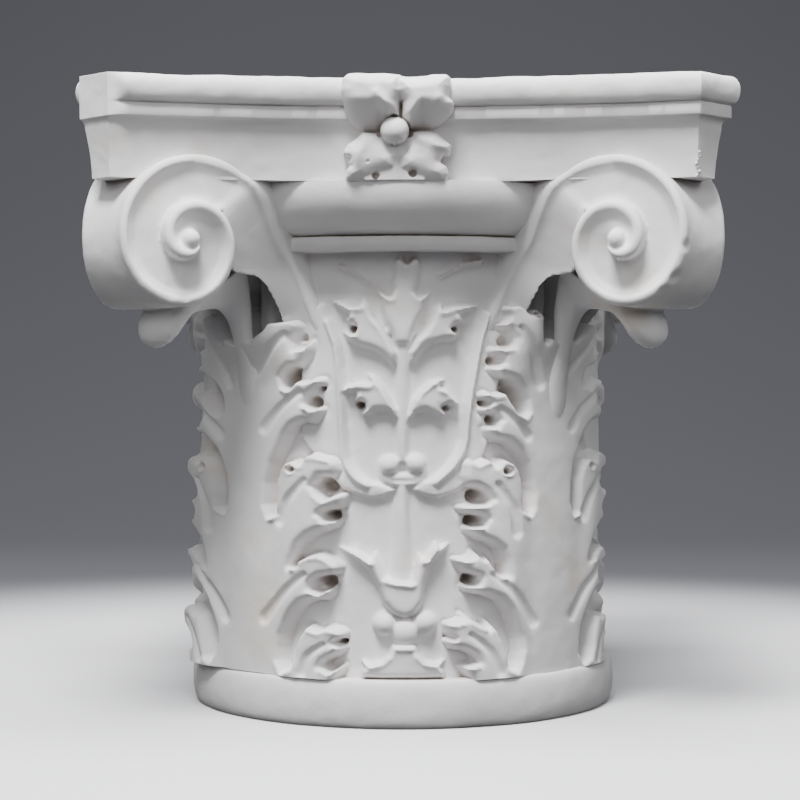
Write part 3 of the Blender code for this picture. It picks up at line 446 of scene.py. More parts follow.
@dataclass(frozen=True)
class CastPlaster:
    """Casting plaster, poured in a piece mould and left bare.

    It is dead matt and off-white, with fine pores from trapped air and faint
    warm stains; painted shade with a dust tint darkens its deep hollows.
    """

    name: str = "cast_plaster"
    body: str = "#ebe9e8"
    cool: str = "#e1dfe0"
    stain: str = "#ddd3c4"
    # Colour of painted shade with a dust tint, laid into the deep hollows
    hollow: str = "#9c8a78"
    roughness: float = 0.82
    mottle_size: float = 55 * MM
    stain_size: float = 70 * MM
    tool_size: float = 14 * MM
    pore_size: float = 3.2 * MM
    grain_size: float = 1.6 * MM
    dust_and_shade_reach: float = 20 * MM
    tool_depth: float = 0.55 * MM
    grain_depth: float = 0.12 * MM
    pore_depth: float = 0.25 * MM
    ior: float = 1.5

    def material(self) -> bpy.types.Material:
        """Build the plaster's nodes.

        Returns:
            The material, with its patterns on object coordinates.
        """
        made = bpy.data.materials.new(self.name)
        made.use_nodes = True
        tree = made.node_tree
        tree.nodes.clear()
        place = add_node(tree, "ShaderNodeTexCoord").outputs["Object"]
        colour = self.colour(tree, place)
        shader = add_node(
            tree,
            "ShaderNodeBsdfPrincipled",
            {"Base Color": colour, "Roughness": self.roughness, "IOR": self.ior, "Metallic": 0.0},
        )
        tree.links.new(self.bump(tree, place), shader.inputs["Normal"])
        add_node(tree, "ShaderNodeOutputMaterial", {"Surface": shader.outputs["BSDF"]})
        return made

    def noise(
        self, tree: bpy.types.NodeTree, place: bpy.types.NodeSocket, size: float, detail: float
    ) -> bpy.types.NodeSocket:
        """A cloudy pattern of a real size.

        Args:
            tree: The material's nodes.
            place: Where on the object the surface is.
            size: The width of one patch.
            detail: How many finer patterns lie over it.

        Returns:
            The pattern's strength, from 0 to 1.
        """
        clouds = add_node(tree, "ShaderNodeTexNoise", {"Vector": place, "Scale": 1 / size, "Detail": detail})
        return clouds.outputs["Fac"]

    def faded(
        self, tree: bpy.types.NodeTree, value: bpy.types.NodeSocket, low: float, high: float
    ) -> bpy.types.NodeSocket:
        """Stretch a pattern so that it starts at one strength and is full at another."""
        spread = add_node(tree, "ShaderNodeMapRange", {"Value": value, "From Min": low, "From Max": high})
        return spread.outputs["Result"]

    def mixed(
        self, tree: bpy.types.NodeTree, share: bpy.types.NodeSocket, under: object, over: object
    ) -> bpy.types.NodeSocket:
        """Lay one colour over another by a pattern.

        Args:
            tree: The material's nodes.
            share: The pattern's strength.
            under: The colour where the pattern is weak, or its socket.
            over: The colour where it is strong, or its socket.

        Returns:
            The blended colour.
        """
        blend = add_node(tree, "ShaderNodeMix", {"Factor": share}, data_type="RGBA")
        for socket, value in ((blend.inputs[6], under), (blend.inputs[7], over)):
            if isinstance(value, bpy.types.NodeSocket):
                tree.links.new(value, socket)
            else:
                socket.default_value = value
        return blend.outputs[2]

    def colour(self, tree: bpy.types.NodeTree, place: bpy.types.NodeSocket) -> bpy.types.NodeSocket:
        """The mottled body, its warm stains, and painted shade with a dust tint in the hollows.

        Args:
            tree: The material's nodes.
            place: Where on the object the surface is.

        Returns:
            The colour of the surface.
        """
        mottle = self.faded(tree, self.noise(tree, place, self.mottle_size, 3.0), 0.35, 0.65)
        body = self.mixed(tree, mottle, linear(self.body), linear(self.cool))
        stains = self.faded(tree, self.noise(tree, place, self.stain_size, 5.0), 0.60, 0.80)
        stained = self.mixed(tree, stains, body, linear(self.stain))
        # Painted shade: ambient occlusion darkens the hollows towards the dust-tinted hollow colour
        shade = add_node(tree, "ShaderNodeAmbientOcclusion", {"Distance": self.dust_and_shade_reach}, samples=6)
        depth = add_node(
            tree,
            "ShaderNodeMapRange",
            {"Value": shade.outputs["AO"], "From Min": 0.36, "From Max": 0.04, "To Max": 0.8},
        )
        return self.mixed(tree, depth.outputs["Result"], stained, linear(self.hollow))

    def bump(self, tree: bpy.types.NodeTree, place: bpy.types.NodeSocket) -> bpy.types.NodeSocket:
        """Tool marks, then the grain of the cast, then open pores.

        Args:
            tree: The material's nodes.
            place: Where on the object the surface is.

        Returns:
            The direction that the surface faces.
        """
        tools = add_node(
            tree,
            "ShaderNodeBump",
            {"Height": self.noise(tree, place, self.tool_size, 3.0), "Distance": self.tool_depth, "Strength": 0.6},
        )
        grain = add_node(
            tree,
            "ShaderNodeBump",
            {
                "Height": self.noise(tree, place, self.grain_size, 2.0),
                "Distance": self.grain_depth,
                "Strength": 0.5,
                "Normal": tools.outputs["Normal"],
            },
        )
        cells = add_node(tree, "ShaderNodeTexVoronoi", {"Vector": place, "Scale": 1 / self.pore_size})
        pores = self.faded(tree, cells.outputs["Distance"], 0.06, 0.16)
        pitted = add_node(
            tree,
            "ShaderNodeBump",
            {"Height": pores, "Distance": self.pore_depth, "Strength": 0.5, "Normal": grain.outputs["Normal"]},
        )
        return pitted.outputs["Normal"]


@dataclass(frozen=True)
class StudioPaper:
    """Seamless backdrop paper: matt, pale on the floor and grey on the wall."""

    name: str = "backdrop_paper"
    floor: str = "#e2e3e6"
    wall: str = "#57585d"
    fade_start: float = 0.40
    fade_end: float = 1.05
    roughness: float = 0.9

    def material(self) -> bpy.types.Material:
        """Build the paper's one shader, toned by the distance from the capital."""
        made = bpy.data.materials.new(self.name)
        made.use_nodes = True
        tree = made.node_tree
        place = add_node(tree, "ShaderNodeTexCoord").outputs["Object"]
        reach = add_node(tree, "ShaderNodeVectorMath", {"Vector": place}, operation="LENGTH")
        away = add_node(
            tree,
            "ShaderNodeMapRange",
            {"Value": reach.outputs["Value"], "From Min": self.fade_start, "From Max": self.fade_end},
            interpolation_type="SMOOTHERSTEP",
        )
        tone = add_node(tree, "ShaderNodeMix", {"Factor": away.outputs["Result"]}, data_type="RGBA")
        tone.inputs[6].default_value = linear(self.floor)
        tone.inputs[7].default_value = linear(self.wall)
        shader = tree.nodes["Principled BSDF"]
        shader.inputs["Roughness"].default_value = self.roughness
        tree.links.new(tone.outputs[2], shader.inputs["Base Color"])
        return made


def repeat_tree() -> bpy.types.NodeTree:
    """Geometry nodes that repeat a form about an axis through the origin.

    Returns:
        The tree, with inputs for the count, the axis, the first angle and the
        material.
    """
    tree = bpy.data.node_groups.new("repeat_about_axis", "GeometryNodeTree")
    face = tree.interface
    face.new_socket("Form", in_out="INPUT", socket_type="NodeSocketGeometry")
    face.new_socket("Count", in_out="INPUT", socket_type="NodeSocketInt")
    face.new_socket("Axis", in_out="INPUT", socket_type="NodeSocketVector")
    face.new_socket("First angle", in_out="INPUT", socket_type="NodeSocketFloat")
    face.new_socket("Material", in_out="INPUT", socket_type="NodeSocketMaterial")
    face.new_socket("Repeated", in_out="OUTPUT", socket_type="NodeSocketGeometry")
    given = add_node(tree, "NodeGroupInput").outputs
    index = add_node(tree, "GeometryNodeInputIndex").outputs["Index"]
    step = add_node(tree, "ShaderNodeMath", {0: math.tau, 1: given["Count"]}, operation="DIVIDE")
    turned = add_node(
        tree,
        "ShaderNodeMath",
        {0: index, 1: step.outputs[0], 2: given["First angle"]},
        operation="MULTIPLY_ADD",
    )
    angles = add_node(
        tree, "ShaderNodeVectorMath", {0: given["Axis"], "Scale": turned.outputs[0]}, operation="SCALE"
    )
    seats = add_node(tree, "GeometryNodePoints", {"Count": given["Count"]})
    copies = add_node(
        tree,
        "GeometryNodeInstanceOnPoints",
        {"Points": seats.outputs[0], "Instance": given["Form"], "Rotation": angles.outputs[0]},
    )
    real = add_node(tree, "GeometryNodeRealizeInstances", {"Geometry": copies.outputs[0]})
    dressed = add_node(
        tree, "GeometryNodeSetMaterial", {"Geometry": real.outputs[0], "Material": given["Material"]}
    )
    add_node(tree, "NodeGroupOutput", {"Repeated": dressed.outputs[0]})
    return tree


def bead_tree() -> bpy.types.NodeTree:
    """Geometry nodes that run small beads of plaster along a path.

    Returns:
        The tree, with inputs for the spacing, the radius, the seed and the
        material.
    """
    tree = bpy.data.node_groups.new("beads_along_seam", "GeometryNodeTree")
    face = tree.interface
    face.new_socket("Seam", in_out="INPUT", socket_type="NodeSocketGeometry")
    face.new_socket("Spacing", in_out="INPUT", socket_type="NodeSocketFloat")
    face.new_socket("Radius", in_out="INPUT", socket_type="NodeSocketFloat")
    face.new_socket("Seed", in_out="INPUT", socket_type="NodeSocketInt")
    face.new_socket("Material", in_out="INPUT", socket_type="NodeSocketMaterial")
    face.new_socket("Beads", in_out="OUTPUT", socket_type="NodeSocketGeometry")
    given = add_node(tree, "NodeGroupInput").outputs
    path = add_node(tree, "GeometryNodeMeshToCurve", {"Mesh": given["Seam"]})
    seats = add_node(
        tree,
        "GeometryNodeCurveToPoints",
        {"Curve": path.outputs[0], "Length": given["Spacing"]},
        mode="LENGTH",
    )
    ball = add_node(tree, "GeometryNodeMeshIcoSphere", {"Radius": given["Radius"], "Subdivisions": 2})
    sizes = add_node(
        tree,
        "FunctionNodeRandomValue",
        {2: BEAD_SHARES[0], 3: BEAD_SHARES[1], "Seed": given["Seed"]},
        data_type="FLOAT",
    )
    copies = add_node(
        tree,
        "GeometryNodeInstanceOnPoints",
        {"Points": seats.outputs["Points"], "Instance": ball.outputs["Mesh"], "Scale": sizes.outputs[1]},
    )
    real = add_node(tree, "GeometryNodeRealizeInstances", {"Geometry": copies.outputs[0]})
    dressed = add_node(
        tree, "GeometryNodeSetMaterial", {"Geometry": real.outputs[0], "Material": given["Material"]}
    )
    add_node(tree, "NodeGroupOutput", {"Beads": dressed.outputs[0]})
    return tree


class Workshop:
    """The tools that every piece of the casting is made with."""

    def __init__(self, plaster: bpy.types.Material, low: Sequence[float], high: Sequence[float]) -> None:
        """Keep the plaster, the casting's box and the two repeating trees.

        Args:
            plaster: The finish of every piece.
            low: The lowest corner that the casting may reach.
            high: Its highest corner.
        """
        self.plaster = plaster
        self.low = np.array(low)
        self.high = np.array(high)
        self.repeat = repeat_tree()
        self.beads = bead_tree()
        self.worn = self.clouds("worn_by_hand", 38 * MM)
        self.rubbed = self.clouds("rubbed", 11 * MM)

    def clouds(self, name: str, size: float) -> bpy.types.Texture:
        """A cloud pattern that a surface is pushed in and out by."""
        made = bpy.data.textures.new(name, "CLOUDS")
        made.noise_scale = size
        made.noise_depth = 2
        return made

    def baked(self, thing: bpy.types.Object) -> bpy.types.Mesh:
        """Turn an object and its modifiers into a plain mesh, and remove the object."""
        graph = bpy.context.evaluated_depsgraph_get()
        mesh = bpy.data.meshes.new_from_object(thing.evaluated_get(graph), depsgraph=graph)
        bpy.data.objects.remove(thing, do_unlink=True)
        return mesh

    def held(self, mesh: bpy.types.Mesh) -> bpy.types.Object:
        """Put a mesh in the scene so that modifiers can work on it."""
        thing = bpy.data.objects.new(mesh.name, mesh)
        bpy.context.scene.collection.objects.link(thing)
        return thing

    def grown(self, mesh: bpy.types.Mesh, tree: bpy.types.NodeTree, **given: object) -> bpy.types.Mesh:
        """Run a tree of geometry nodes on a mesh.

        Args:
            mesh: The form or path that the tree starts from.
            tree: One of the workshop's trees.
            given: The tree's inputs, with underscores for spaces.

        Returns:
            The tree's result as a plain mesh.
        """
        thing = self.held(mesh)
        modifier = thing.modifiers.new(tree.name, "NODES")
        modifier.node_group = tree
        names = {item.name: item.identifier for item in tree.interface.items_tree if item.in_out == "INPUT"}
        for name, value in given.items():
            modifier[names[name.replace("_", " ").capitalize()]] = value
        modifier[names["Material"]] = self.plaster
        return self.baked(thing)

    def repeated(self, mesh: bpy.types.Mesh, count: int, axis: Axis, first: float = 0.0) -> bpy.types.Mesh:
        """Copies of a form about an axis through the origin."""
        return self.grown(mesh, self.repeat, count=count, axis=axis.value, first_angle=first)

    def gathered(self, name: str, meshes: Iterable[bpy.types.Mesh]) -> bpy.types.Mesh:
        """Several meshes as one."""
        form = bmesh.new()
        for mesh in meshes:
            form.from_mesh(mesh)
        together = bpy.data.meshes.new(name)
        form.to_mesh(together)
        form.free()
        return together

    def fused(self, mesh: bpy.types.Mesh, voxel: float, smoothing: int) -> bpy.types.Mesh:
        """One skin over overlapping forms, with the softened arrises of a cast."""
        thing = self.held(mesh)
        skin = thing.modifiers.new("skin", "REMESH")
        skin.mode = "VOXEL"
        skin.voxel_size = voxel
        skin.use_smooth_shade = True
        if smoothing:
            soft = thing.modifiers.new("soft", "SMOOTH")
            soft.factor = 0.5
            soft.iterations = smoothing
        return self.baked(thing)

    def weathered(self, mesh: bpy.types.Mesh, wave: float, rub: float, triangles: int) -> bpy.types.Mesh:
        """Push a surface in and out by hand-worn amounts, then thin it.

        Args:
            mesh: A dense, closed form.
            wave: How far the broad unevenness reaches in all.
            rub: How far the small unevenness reaches in all.
            triangles: The most triangles to keep.

        Returns:
            The worn and thinned mesh.
        """
        count = sum(len(face.vertices) - 2 for face in mesh.polygons)
        thing = self.held(mesh)
        for texture, reach in ((self.worn, wave), (self.rubbed, rub)):
            push = thing.modifiers.new(texture.name, "DISPLACE")
            push.texture = texture
            push.texture_coords = "LOCAL"
            push.strength = reach
            push.mid_level = 0.5
        if count > triangles:
            thin = thing.modifiers.new("thin", "DECIMATE")
            thin.ratio = triangles / count
        return self.baked(thing)

    def finished(self, name: str, mesh: bpy.types.Mesh) -> bpy.types.Object:
        """Keep a mesh inside the casting's box and make it a piece of the casting.

        Args:
            name: The piece's name.
            mesh: Its final mesh.

        Returns:
            The finished object, riding on the casting's body.
        """
        points = read_points(mesh)
        write_points(mesh, np.clip(points, self.low, self.high))
        mesh.name = name
        mesh.materials.clear()
        mesh.materials.append(self.plaster)
        mesh.shade_smooth()
        mesh.set_sharp_from_angle(angle=math.radians(50))
        piece = self.held(mesh)
        piece.name = name
        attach(piece, "root")
        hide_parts("capital")
        LOG.info("%s: %d faces", name, len(mesh.polygons))
        return piece


def read_points(mesh: bpy.types.Mesh) -> Array:
    """A mesh's places as rows of three numbers."""
    points = np.empty(len(mesh.vertices) * 3)
    mesh.vertices.foreach_get("co", points)
    return points.reshape(-1, 3)


def write_points(mesh: bpy.types.Mesh, points: Array) -> None:
    """Put a mesh's places back."""
    mesh.vertices.foreach_set("co", np.ascontiguousarray(points, dtype=np.float64).ravel())
    mesh.update()


def grid_mesh(name: str, rows: Array) -> bpy.types.Mesh:
    """A closed form through rings of places.

    Args:
        name: The mesh's name.
        rows: An array of rings, places and coordinates.

    Returns:
        The mesh, with a fan over its first and last rings.
    """
    count, around = rows.shape[:2]
    first = np.arange(count - 1)[:, None] * around
    here = np.arange(around)[None, :]
    there = (here + 1) % around
    quads = np.stack([first + here, first + there, first + around + there, first + around + here], axis=-1)
    points = rows.reshape(-1, 3)
    ends = np.array([rows[0].mean(axis=0), rows[-1].mean(axis=0)])
    low, high = len(points), len(points) + 1
    top = (count - 1) * around
    fans = [(int(b), int(a), low) for a, b in zip(here[0], there[0])]
    fans += [(int(a) + top, int(b) + top, high) for a, b in zip(here[0], there[0])]
    mesh = bpy.data.meshes.new(name)
    mesh.from_pydata(np.vstack([points, ends]).tolist(), [], quads.reshape(-1, 4).tolist() + fans)
    form = bmesh.new()
    form.from_mesh(mesh)
    bmesh.ops.remove_doubles(form, verts=form.verts, dist=0.01 * MM)
    bmesh.ops.recalc_face_normals(form, faces=form.faces)
    form.to_mesh(mesh)
    form.free()
    mesh.update()
    return mesh


def sheet_mesh(name: str, places: Array) -> bpy.types.Mesh:
    """A thin relief from a grid of places, closed over its own back.

    Args:
        name: The mesh's name.
        places: An array of rows, columns and coordinates.

    Returns:
        The mesh, with a flat back a little behind its deepest place.
    """
    rows, columns = places.shape[:2]
    back = places.copy()
    back[..., 1] = places[..., 1].max() + 2 * MM
    index = np.arange(rows * columns).reshape(rows, columns)
    quads = np.stack([index[:-1, :-1], index[:-1, 1:], index[1:, 1:], index[1:, :-1]], axis=-1).reshape(-1, 4)
    edge = np.concatenate([index[0, :-1], index[:-1, -1], index[-1, :0:-1], index[:0:-1, 0]])
    following = np.roll(edge, -1)
    count = rows * columns
    behind = np.arange(len(edge)) + count
    sides = np.stack([following, edge, behind, np.roll(behind, -1)], axis=-1)
    middle = count + len(edge)
    fan = [(int(a), int(b), middle) for a, b in zip(np.roll(behind, -1), behind)]
    points = np.vstack([places.reshape(-1, 3), back.reshape(-1, 3)[edge], back.reshape(-1, 3).mean(axis=0)])
    mesh = bpy.data.meshes.new(name)
    mesh.from_pydata(points.tolist(), [], quads.tolist() + sides.tolist() + fan)
    mesh.update()
    return mesh


def flowing(stations: Array, count: int) -> Array:
    """A smooth run through stations of numbers.

    Args:
        stations: One row of numbers for each station.
        count: How many rows to give back.

    Returns:
        Rows along a curve that passes through every station.
    """
    padded = np.vstack([2 * stations[0] - stations[1], stations, 2 * stations[-1] - stations[-2]])
    where = np.linspace(0, len(stations) - 1 - 1e-9, count)
    index = where.astype(int)
    t = (where - index)[:, None]
    a, b, c, d = (padded[index + k] for k in range(4))
    return 0.5 * (2 * b + (c - a) * t + (2 * a - 5 * b + 4 * c - d) * t**2 + (3 * b - a - 3 * c + d) * t**3)


@dataclass
class Relief:
    """The carving of one face, as a height over the plain bell."""

    bell_radius: float
    height: float
    leaf: float = 11 * MM
    leaf_swell: float = 4.0 * MM
    leaf_rim: float = 2.2 * MM
    lean: float = 13 * MM
    lean_floor: float = 240 * MM
    strip: float = 5.5 * MM
    fillet: float = 9.0 * MM
    palmette: float = 9.0 * MM
    stem: float = 5.0 * MM
    berry: float = 9.5 * MM
    crease: float = 2.6 * MM
    hollow: float = 12 * MM
    pit: float = 30 * MM
    tear: float = 13 * MM
    trench: float = 2.0 * MM
    trench_width: float = 2 * MM
    swell_reach: float = 22 * MM
    swell_edge: float = 7 * MM
    lean_rise: float = 52 * MM
    lean_from: float = 68 * MM
    lean_reach: float = 26 * MM
    strip_edge: float = 1.5 * MM
    overrun: float = 0.8 * MM
    pit_slope: float = 2.4 * MM
    tear_slope: float = 3.0 * MM

    def set_out(self, x: float, y: float) -> tuple[float, float]:
        """Turn a drawn point into a distance round the bell and a height."""
        angle, share = ELEVATION.place(x, y)
        return angle * self.bell_radius, share * self.height

    def along(self, around: Array, up: Array, stroke: Stroke) -> tuple[Array, Array]:
        """Measure each place against a stroke.

        Args:
            around: Distance round the bell from the face's axis.
            up: Height over the underside.
            stroke: The ridge or groove.

        Returns:
            The distance from the stroke's line as a share of its half-width,
            and how far along the stroke the nearest point lies.
        """
        places = np.array([self.set_out(x, y) for x, y in stroke.points])
        smooth = flowing(places, 4 * len(places) + 1) if len(places) > 2 else places
        spans = np.linalg.norm(np.diff(smooth, axis=0), axis=1)
        total = spans.sum()
        best = np.full(around.shape, np.inf)
        where = np.zeros(around.shape)
        run = 0.0
        for (ax, ay), (bx, by), span in zip(smooth, smooth[1:], spans):
            share = ((around - ax) * (bx - ax) + (up - ay) * (by - ay)) / (span * span)
            share = np.clip(share, 0.0, 1.0)
            gap = np.hypot(around - ax - share * (bx - ax), up - ay - share * (by - ay))
            place = (run + share * span) / total
            ratio = gap / ((stroke.start + (stroke.end - stroke.start) * place) * MM)
            nearer = ratio < best
            best = np.where(nearer, ratio, best)
            where = np.where(nearer, place, where)
            run += span
        return best, where

    def within(self, around: Array, up: Array, leaf: Leaf) -> tuple[Array, Array]:
        """Measure each place against an outline.

        Args:
            around: Distance round the bell from the face's axis.
            up: Height over the underside.
            leaf: The closed outline.

        Returns:
            How far inside the outline each place is, and how much the nearest
            edge faces upwards, from -1 to 1.
        """
        places = np.array([self.set_out(x, y) for x, y in leaf.points])
        after = np.roll(places, -1, axis=0)
        turning = np.sign(np.sum(places[:, 0] * after[:, 1] - after[:, 0] * places[:, 1]))
        best = np.full(around.shape, np.inf)
        facing = np.zeros(around.shape)
        inside = np.zeros(around.shape, dtype=bool)
        for (ax, ay), (bx, by) in zip(places, after):
            span = math.hypot(bx - ax, by - ay)
            share = np.clip(((around - ax) * (bx - ax) + (up - ay) * (by - ay)) / (span * span), 0.0, 1.0)
            gap = np.hypot(around - ax - share * (bx - ax), up - ay - share * (by - ay))
            nearer = gap < best
            best = np.where(nearer, gap, best)
            facing = np.where(nearer, turning * (ax - bx) / span, facing)
            if ay != by:
                inside ^= ((ay > up) != (by > up)) & (around < (bx - ax) * (up - ay) / (by - ay) + ax)
        return np.where(inside, best, -best), facing

    def rounded(self, inside: Array, edge: Array | float) -> Array:
        """A raised form's share of its height: flat, with a quarter-round edge."""
        share = np.clip(inside / edge, 0.0, 1.0)
        return np.sqrt(1.0 - (1.0 - share) ** 2)

    def ridge(self, around: Array, up: Array, stroke: Stroke, rise: float) -> Array:
        """A rounded ridge."""
        return rise * np.sqrt(np.clip(1.0 - self.along(around, up, stroke)[0] ** 2, 0.0, None))

    def dome(self, around: Array, up: Array, spot: Spot, rise: float) -> Array:
        """A ball half sunk in the ground."""
        x, z = self.set_out(spot.x, spot.y)
        gap = np.hypot(around - x, up - z) / (spot.radius * MM)
        return rise * np.sqrt(np.clip(1.0 - gap**2, 0.0, None))

    def drilled(self, around: Array, up: Array, spot: Spot) -> tuple[Array, Array]:
        """A deep hollow under a leaf's tip, and the raised lip under it.

        Args:
            around: Distance round the bell from the face's axis.
            up: Height over the underside.
            spot: The hollow's middle and radius.

        Returns:
            The hollow's depth, and the lip's height.
        """
        x, z = self.set_out(spot.x, spot.y)
        gap = np.hypot(0.8 * (around - x), up - z) / (0.8 * spot.radius * MM)
        depth = self.hollow * ease((1.15 - gap) / 0.5)
        below = ease((z - up) / (spot.radius * MM))
        return depth, self.leaf_rim * below * np.exp(-(((gap - 1.45) / 0.32) ** 2))

    def leafage(self, around: Array, up: Array, leaf: Leaf, rise: float) -> tuple[Array, Array]:
        """A carved leaf: swelling to its tips, thin on top and rolled below.

        Args:
            around: Distance round the bell from the face's axis.
            up: Height over the underside.
            leaf: The leaf's outline.
            rise: How far its flat part stands out.

        Returns:
            The leaf's height, and how far inside the outline each place is.
        """
        inside, facing = self.within(around, up, leaf)
        edge = (4.0 - 1.9 * facing) * MM
        rim = self.leaf_rim * np.clip(facing, 0.0, 1.0) * np.exp(-(((inside - 2.2 * MM) / (1.7 * MM)) ** 2))
        return (rise + rim) * self.rounded(inside, edge), inside

    def height_map(self, around: Array, up: Array) -> Array:
        """How far the carved surface stands out of the plain bell.

        Args:
            around: Distance round the bell from the face's axis.
            up: Height over the underside.

        Returns:
            The relief at each place, below zero where it is cut in.
        """
        corner = self.bell_radius * math.pi / 4
        swell = self.leaf_swell * ease((corner - np.abs(around) - self.swell_reach) / self.swell_reach)
        toward_corner = ease((np.abs(around) - self.lean_from) / self.lean_reach)
        swell = swell + self.lean * ease((up - self.lean_floor) / self.lean_rise) * toward_corner
        out = np.zeros(around.shape)
        for strip in STRIPS.values():
            inside, _ = self.within(around, up, strip)
            out = np.maximum(out, self.strip * self.rounded(inside, self.strip_edge))
        for fillet in FILLETS.values():
            out = np.maximum(out, self.ridge(around, up, fillet, self.fillet))
        for stroke in STEMS.values():
            out = np.maximum(out, self.ridge(around, up, stroke, self.stem))
        for leaf in PALMETTES.values():
            out = np.maximum(out, self.leafage(around, up, leaf, self.palmette)[0])
        for ball in BALLS.values():
            out = np.maximum(out, self.dome(around, up, ball, self.berry * min(1.0, ball.radius / 8.0)))
        leaves = np.full(around.shape, -np.inf)
        for leaf in (LEFT_LEAF, RIGHT_LEAF):
            height, inside = self.leafage(around, up, leaf, self.leaf)
            leaves = np.maximum(leaves, inside)
            out = np.where(inside > 0, np.maximum(out * 0.6, height + swell * self.rounded(inside, self.swell_edge)), out)
        lips = np.zeros(around.shape)
        for hollow in HOLLOWS.values():
            depth, lip = self.drilled(around, up, hollow)
            out = out - depth
            lips = np.maximum(lips, lip)
        for stroke in CREASES.values():
            out = out - self.ridge(around, up, stroke, self.crease)
        beside = np.exp(-((np.minimum(leaves, 0.0) / self.trench_width) ** 2))
        out = out + np.where(leaves > 0, lips, 0.0) - self.trench * beside * (leaves < 0)
        for pit in PITS.values():
            inside, _ = self.within(around, up, pit)
            out = out - self.pit * ease((inside + self.overrun) / self.pit_slope)
        for tear in TEARS.values():
            inside, _ = self.within(around, up, tear)
            out = out - self.tear * ease((inside + self.overrun) / self.tear_slope)
        return self.softened(out)

    def softened(self, out: Array) -> Array:
        """Rub the carving down a little, as casting does.

        Args:
            out: The relief at each place of a grid.

        Returns:
            The relief, each place mixed with the eight around it.
        """
        padded = np.pad(out, 1, mode="edge")
        return sum(
            padded[1 + i : padded.shape[0] - 1 + i, 1 + j : padded.shape[1] - 1 + j] * (2 - abs(i)) * (2 - abs(j))
            for i in (-1, 0, 1)
            for j in (-1, 0, 1)
        ) / 16


@dataclass
class Bell:
    """The turned ring, bell, lip and echinus, with the carving of four faces."""

    height: float
    abacus_floor: float
    radius: float = 147 * MM
    flare: float = 3 * MM
    flare_height: float = 48 * MM
    lip_projection: float = 24 * MM
    lip_height: float = 10 * MM
    echinus_height: float = 36.5 * MM
    echinus_radius: float = 195 * MM
    echinus_foot: float = 13 * MM
    echinus_sink: float = 4 * MM
    ring_height: float = 34 * MM
    ring_radius: float = 162.5 * MM
    ring_foot_radius: float = 157.5 * MM
    bold_share: float = 0.8
    bold_spread: float = math.radians(34)
    side_rubs: int = 14
    rubbed_from: float = math.radians(48)
    hand_wear: float = 1.2 * MM
    fine_wear: float = 0.5 * MM
    most_triangles: int = 196000
    across: int = 200
    rows: int = 240

    def profile(self) -> Array:
        """The outside of the turned forms.

        Returns:
            The radius and height of each level, from the underside up.
        """
        lip_radius = self.radius + self.lip_projection
        foot_radius = self.radius + self.echinus_foot
        echinus_floor = self.abacus_floor - self.echinus_height
        lip_floor = echinus_floor - self.lip_height
        rows = []
        middle = self.ring_height / 2
        for turn in np.radians(np.linspace(-90, 90, 25)):
            swell = abs(math.cos(turn)) ** 0.8
            reach = self.ring_foot_radius + (self.ring_radius - self.ring_foot_radius) * swell
            rows.append((reach, middle + middle * math.sin(turn)))
        flare_floor = lip_floor - self.flare_height
        rows += [(self.radius, z) for z in np.linspace(self.ring_height, flare_floor, self.rows)]
        for share in np.linspace(0, 1, 40)[1:]:
            rows.append((self.radius + self.flare * share**2, flare_floor + self.flare_height * share))
        rows += [(lip_radius - 1 * MM, lip_floor), (lip_radius, lip_floor + 1 * MM)]
        rows += [(lip_radius, echinus_floor - 1 * MM), (lip_radius - 1 * MM, echinus_floor)]
        rows.append((foot_radius + 3 * MM, echinus_floor + 0.4 * MM))
        for turn in np.radians(np.linspace(2, 96, 32)):
            reach = foot_radius + (self.echinus_radius - foot_radius) * math.sin(turn)
            drop = (self.echinus_height - self.echinus_sink) * math.cos(turn)
            rows.append((reach, self.abacus_floor - self.echinus_sink - drop))
        rows.append((self.echinus_radius - 22 * MM, self.abacus_floor - 0.5 * MM))
        rows.append((self.echinus_radius - 24 * MM, self.abacus_floor + 6 * MM))
        return np.array(rows)

    def mesh(self) -> bpy.types.Mesh:
        """Turn the profile and push the ground out by the carving.

        Returns:
            A closed mesh of the turned forms with four carved faces.
        """
        profile = self.profile()
        steps = (np.arange(self.across) + 0.5) / self.across - 0.5
        around, up = np.meshgrid(steps * QUARTER * self.radius, profile[:, 1])
        relief = Relief(self.radius, self.height)
        carved = relief.height_map(around, up)
        lip_floor = self.abacus_floor - self.echinus_height - self.lip_height
        ground = (profile[:, 0] < self.radius + self.flare + 0.1 * MM) & (profile[:, 1] >= self.ring_height)
        fade = np.where(ground, ease((lip_floor + 0.2 * MM - profile[:, 1]) / (3 * MM)), 0.0)
        angles = np.concatenate([steps * QUARTER + quarter * QUARTER for quarter in (0, 1, 2, -1)])
        from_left = (angles + QUARTER) / self.bold_spread
        bold = 1 + self.bold_share * np.exp(-(from_left**2))
        plain = carved
        for _ in range(self.side_rubs):
            plain = relief.softened(plain)
        turned_away = ease((np.abs(angles) - self.rubbed_from) / self.rubbed_from)[None, :]
        sharp = np.tile(carved * fade[:, None], (1, 4))
        standing = sharp + (np.tile(plain * fade[:, None], (1, 4)) - sharp) * turned_away
        radius = profile[:, :1] + np.where(standing > 0, standing * bold[None, :], standing)
        levels = np.repeat(profile[:, 1:], len(angles), axis=1)
        rings = np.stack([radius * np.sin(angles), -radius * np.cos(angles), levels], axis=-1)
        return grid_mesh("bell", rings)

    def build(self, shop: Workshop) -> bpy.types.Object:
        """Make, wear and dress the bell."""
        mesh = shop.weathered(self.mesh(), self.hand_wear, self.fine_wear, self.most_triangles)
        return shop.finished("carved_bell", mesh)


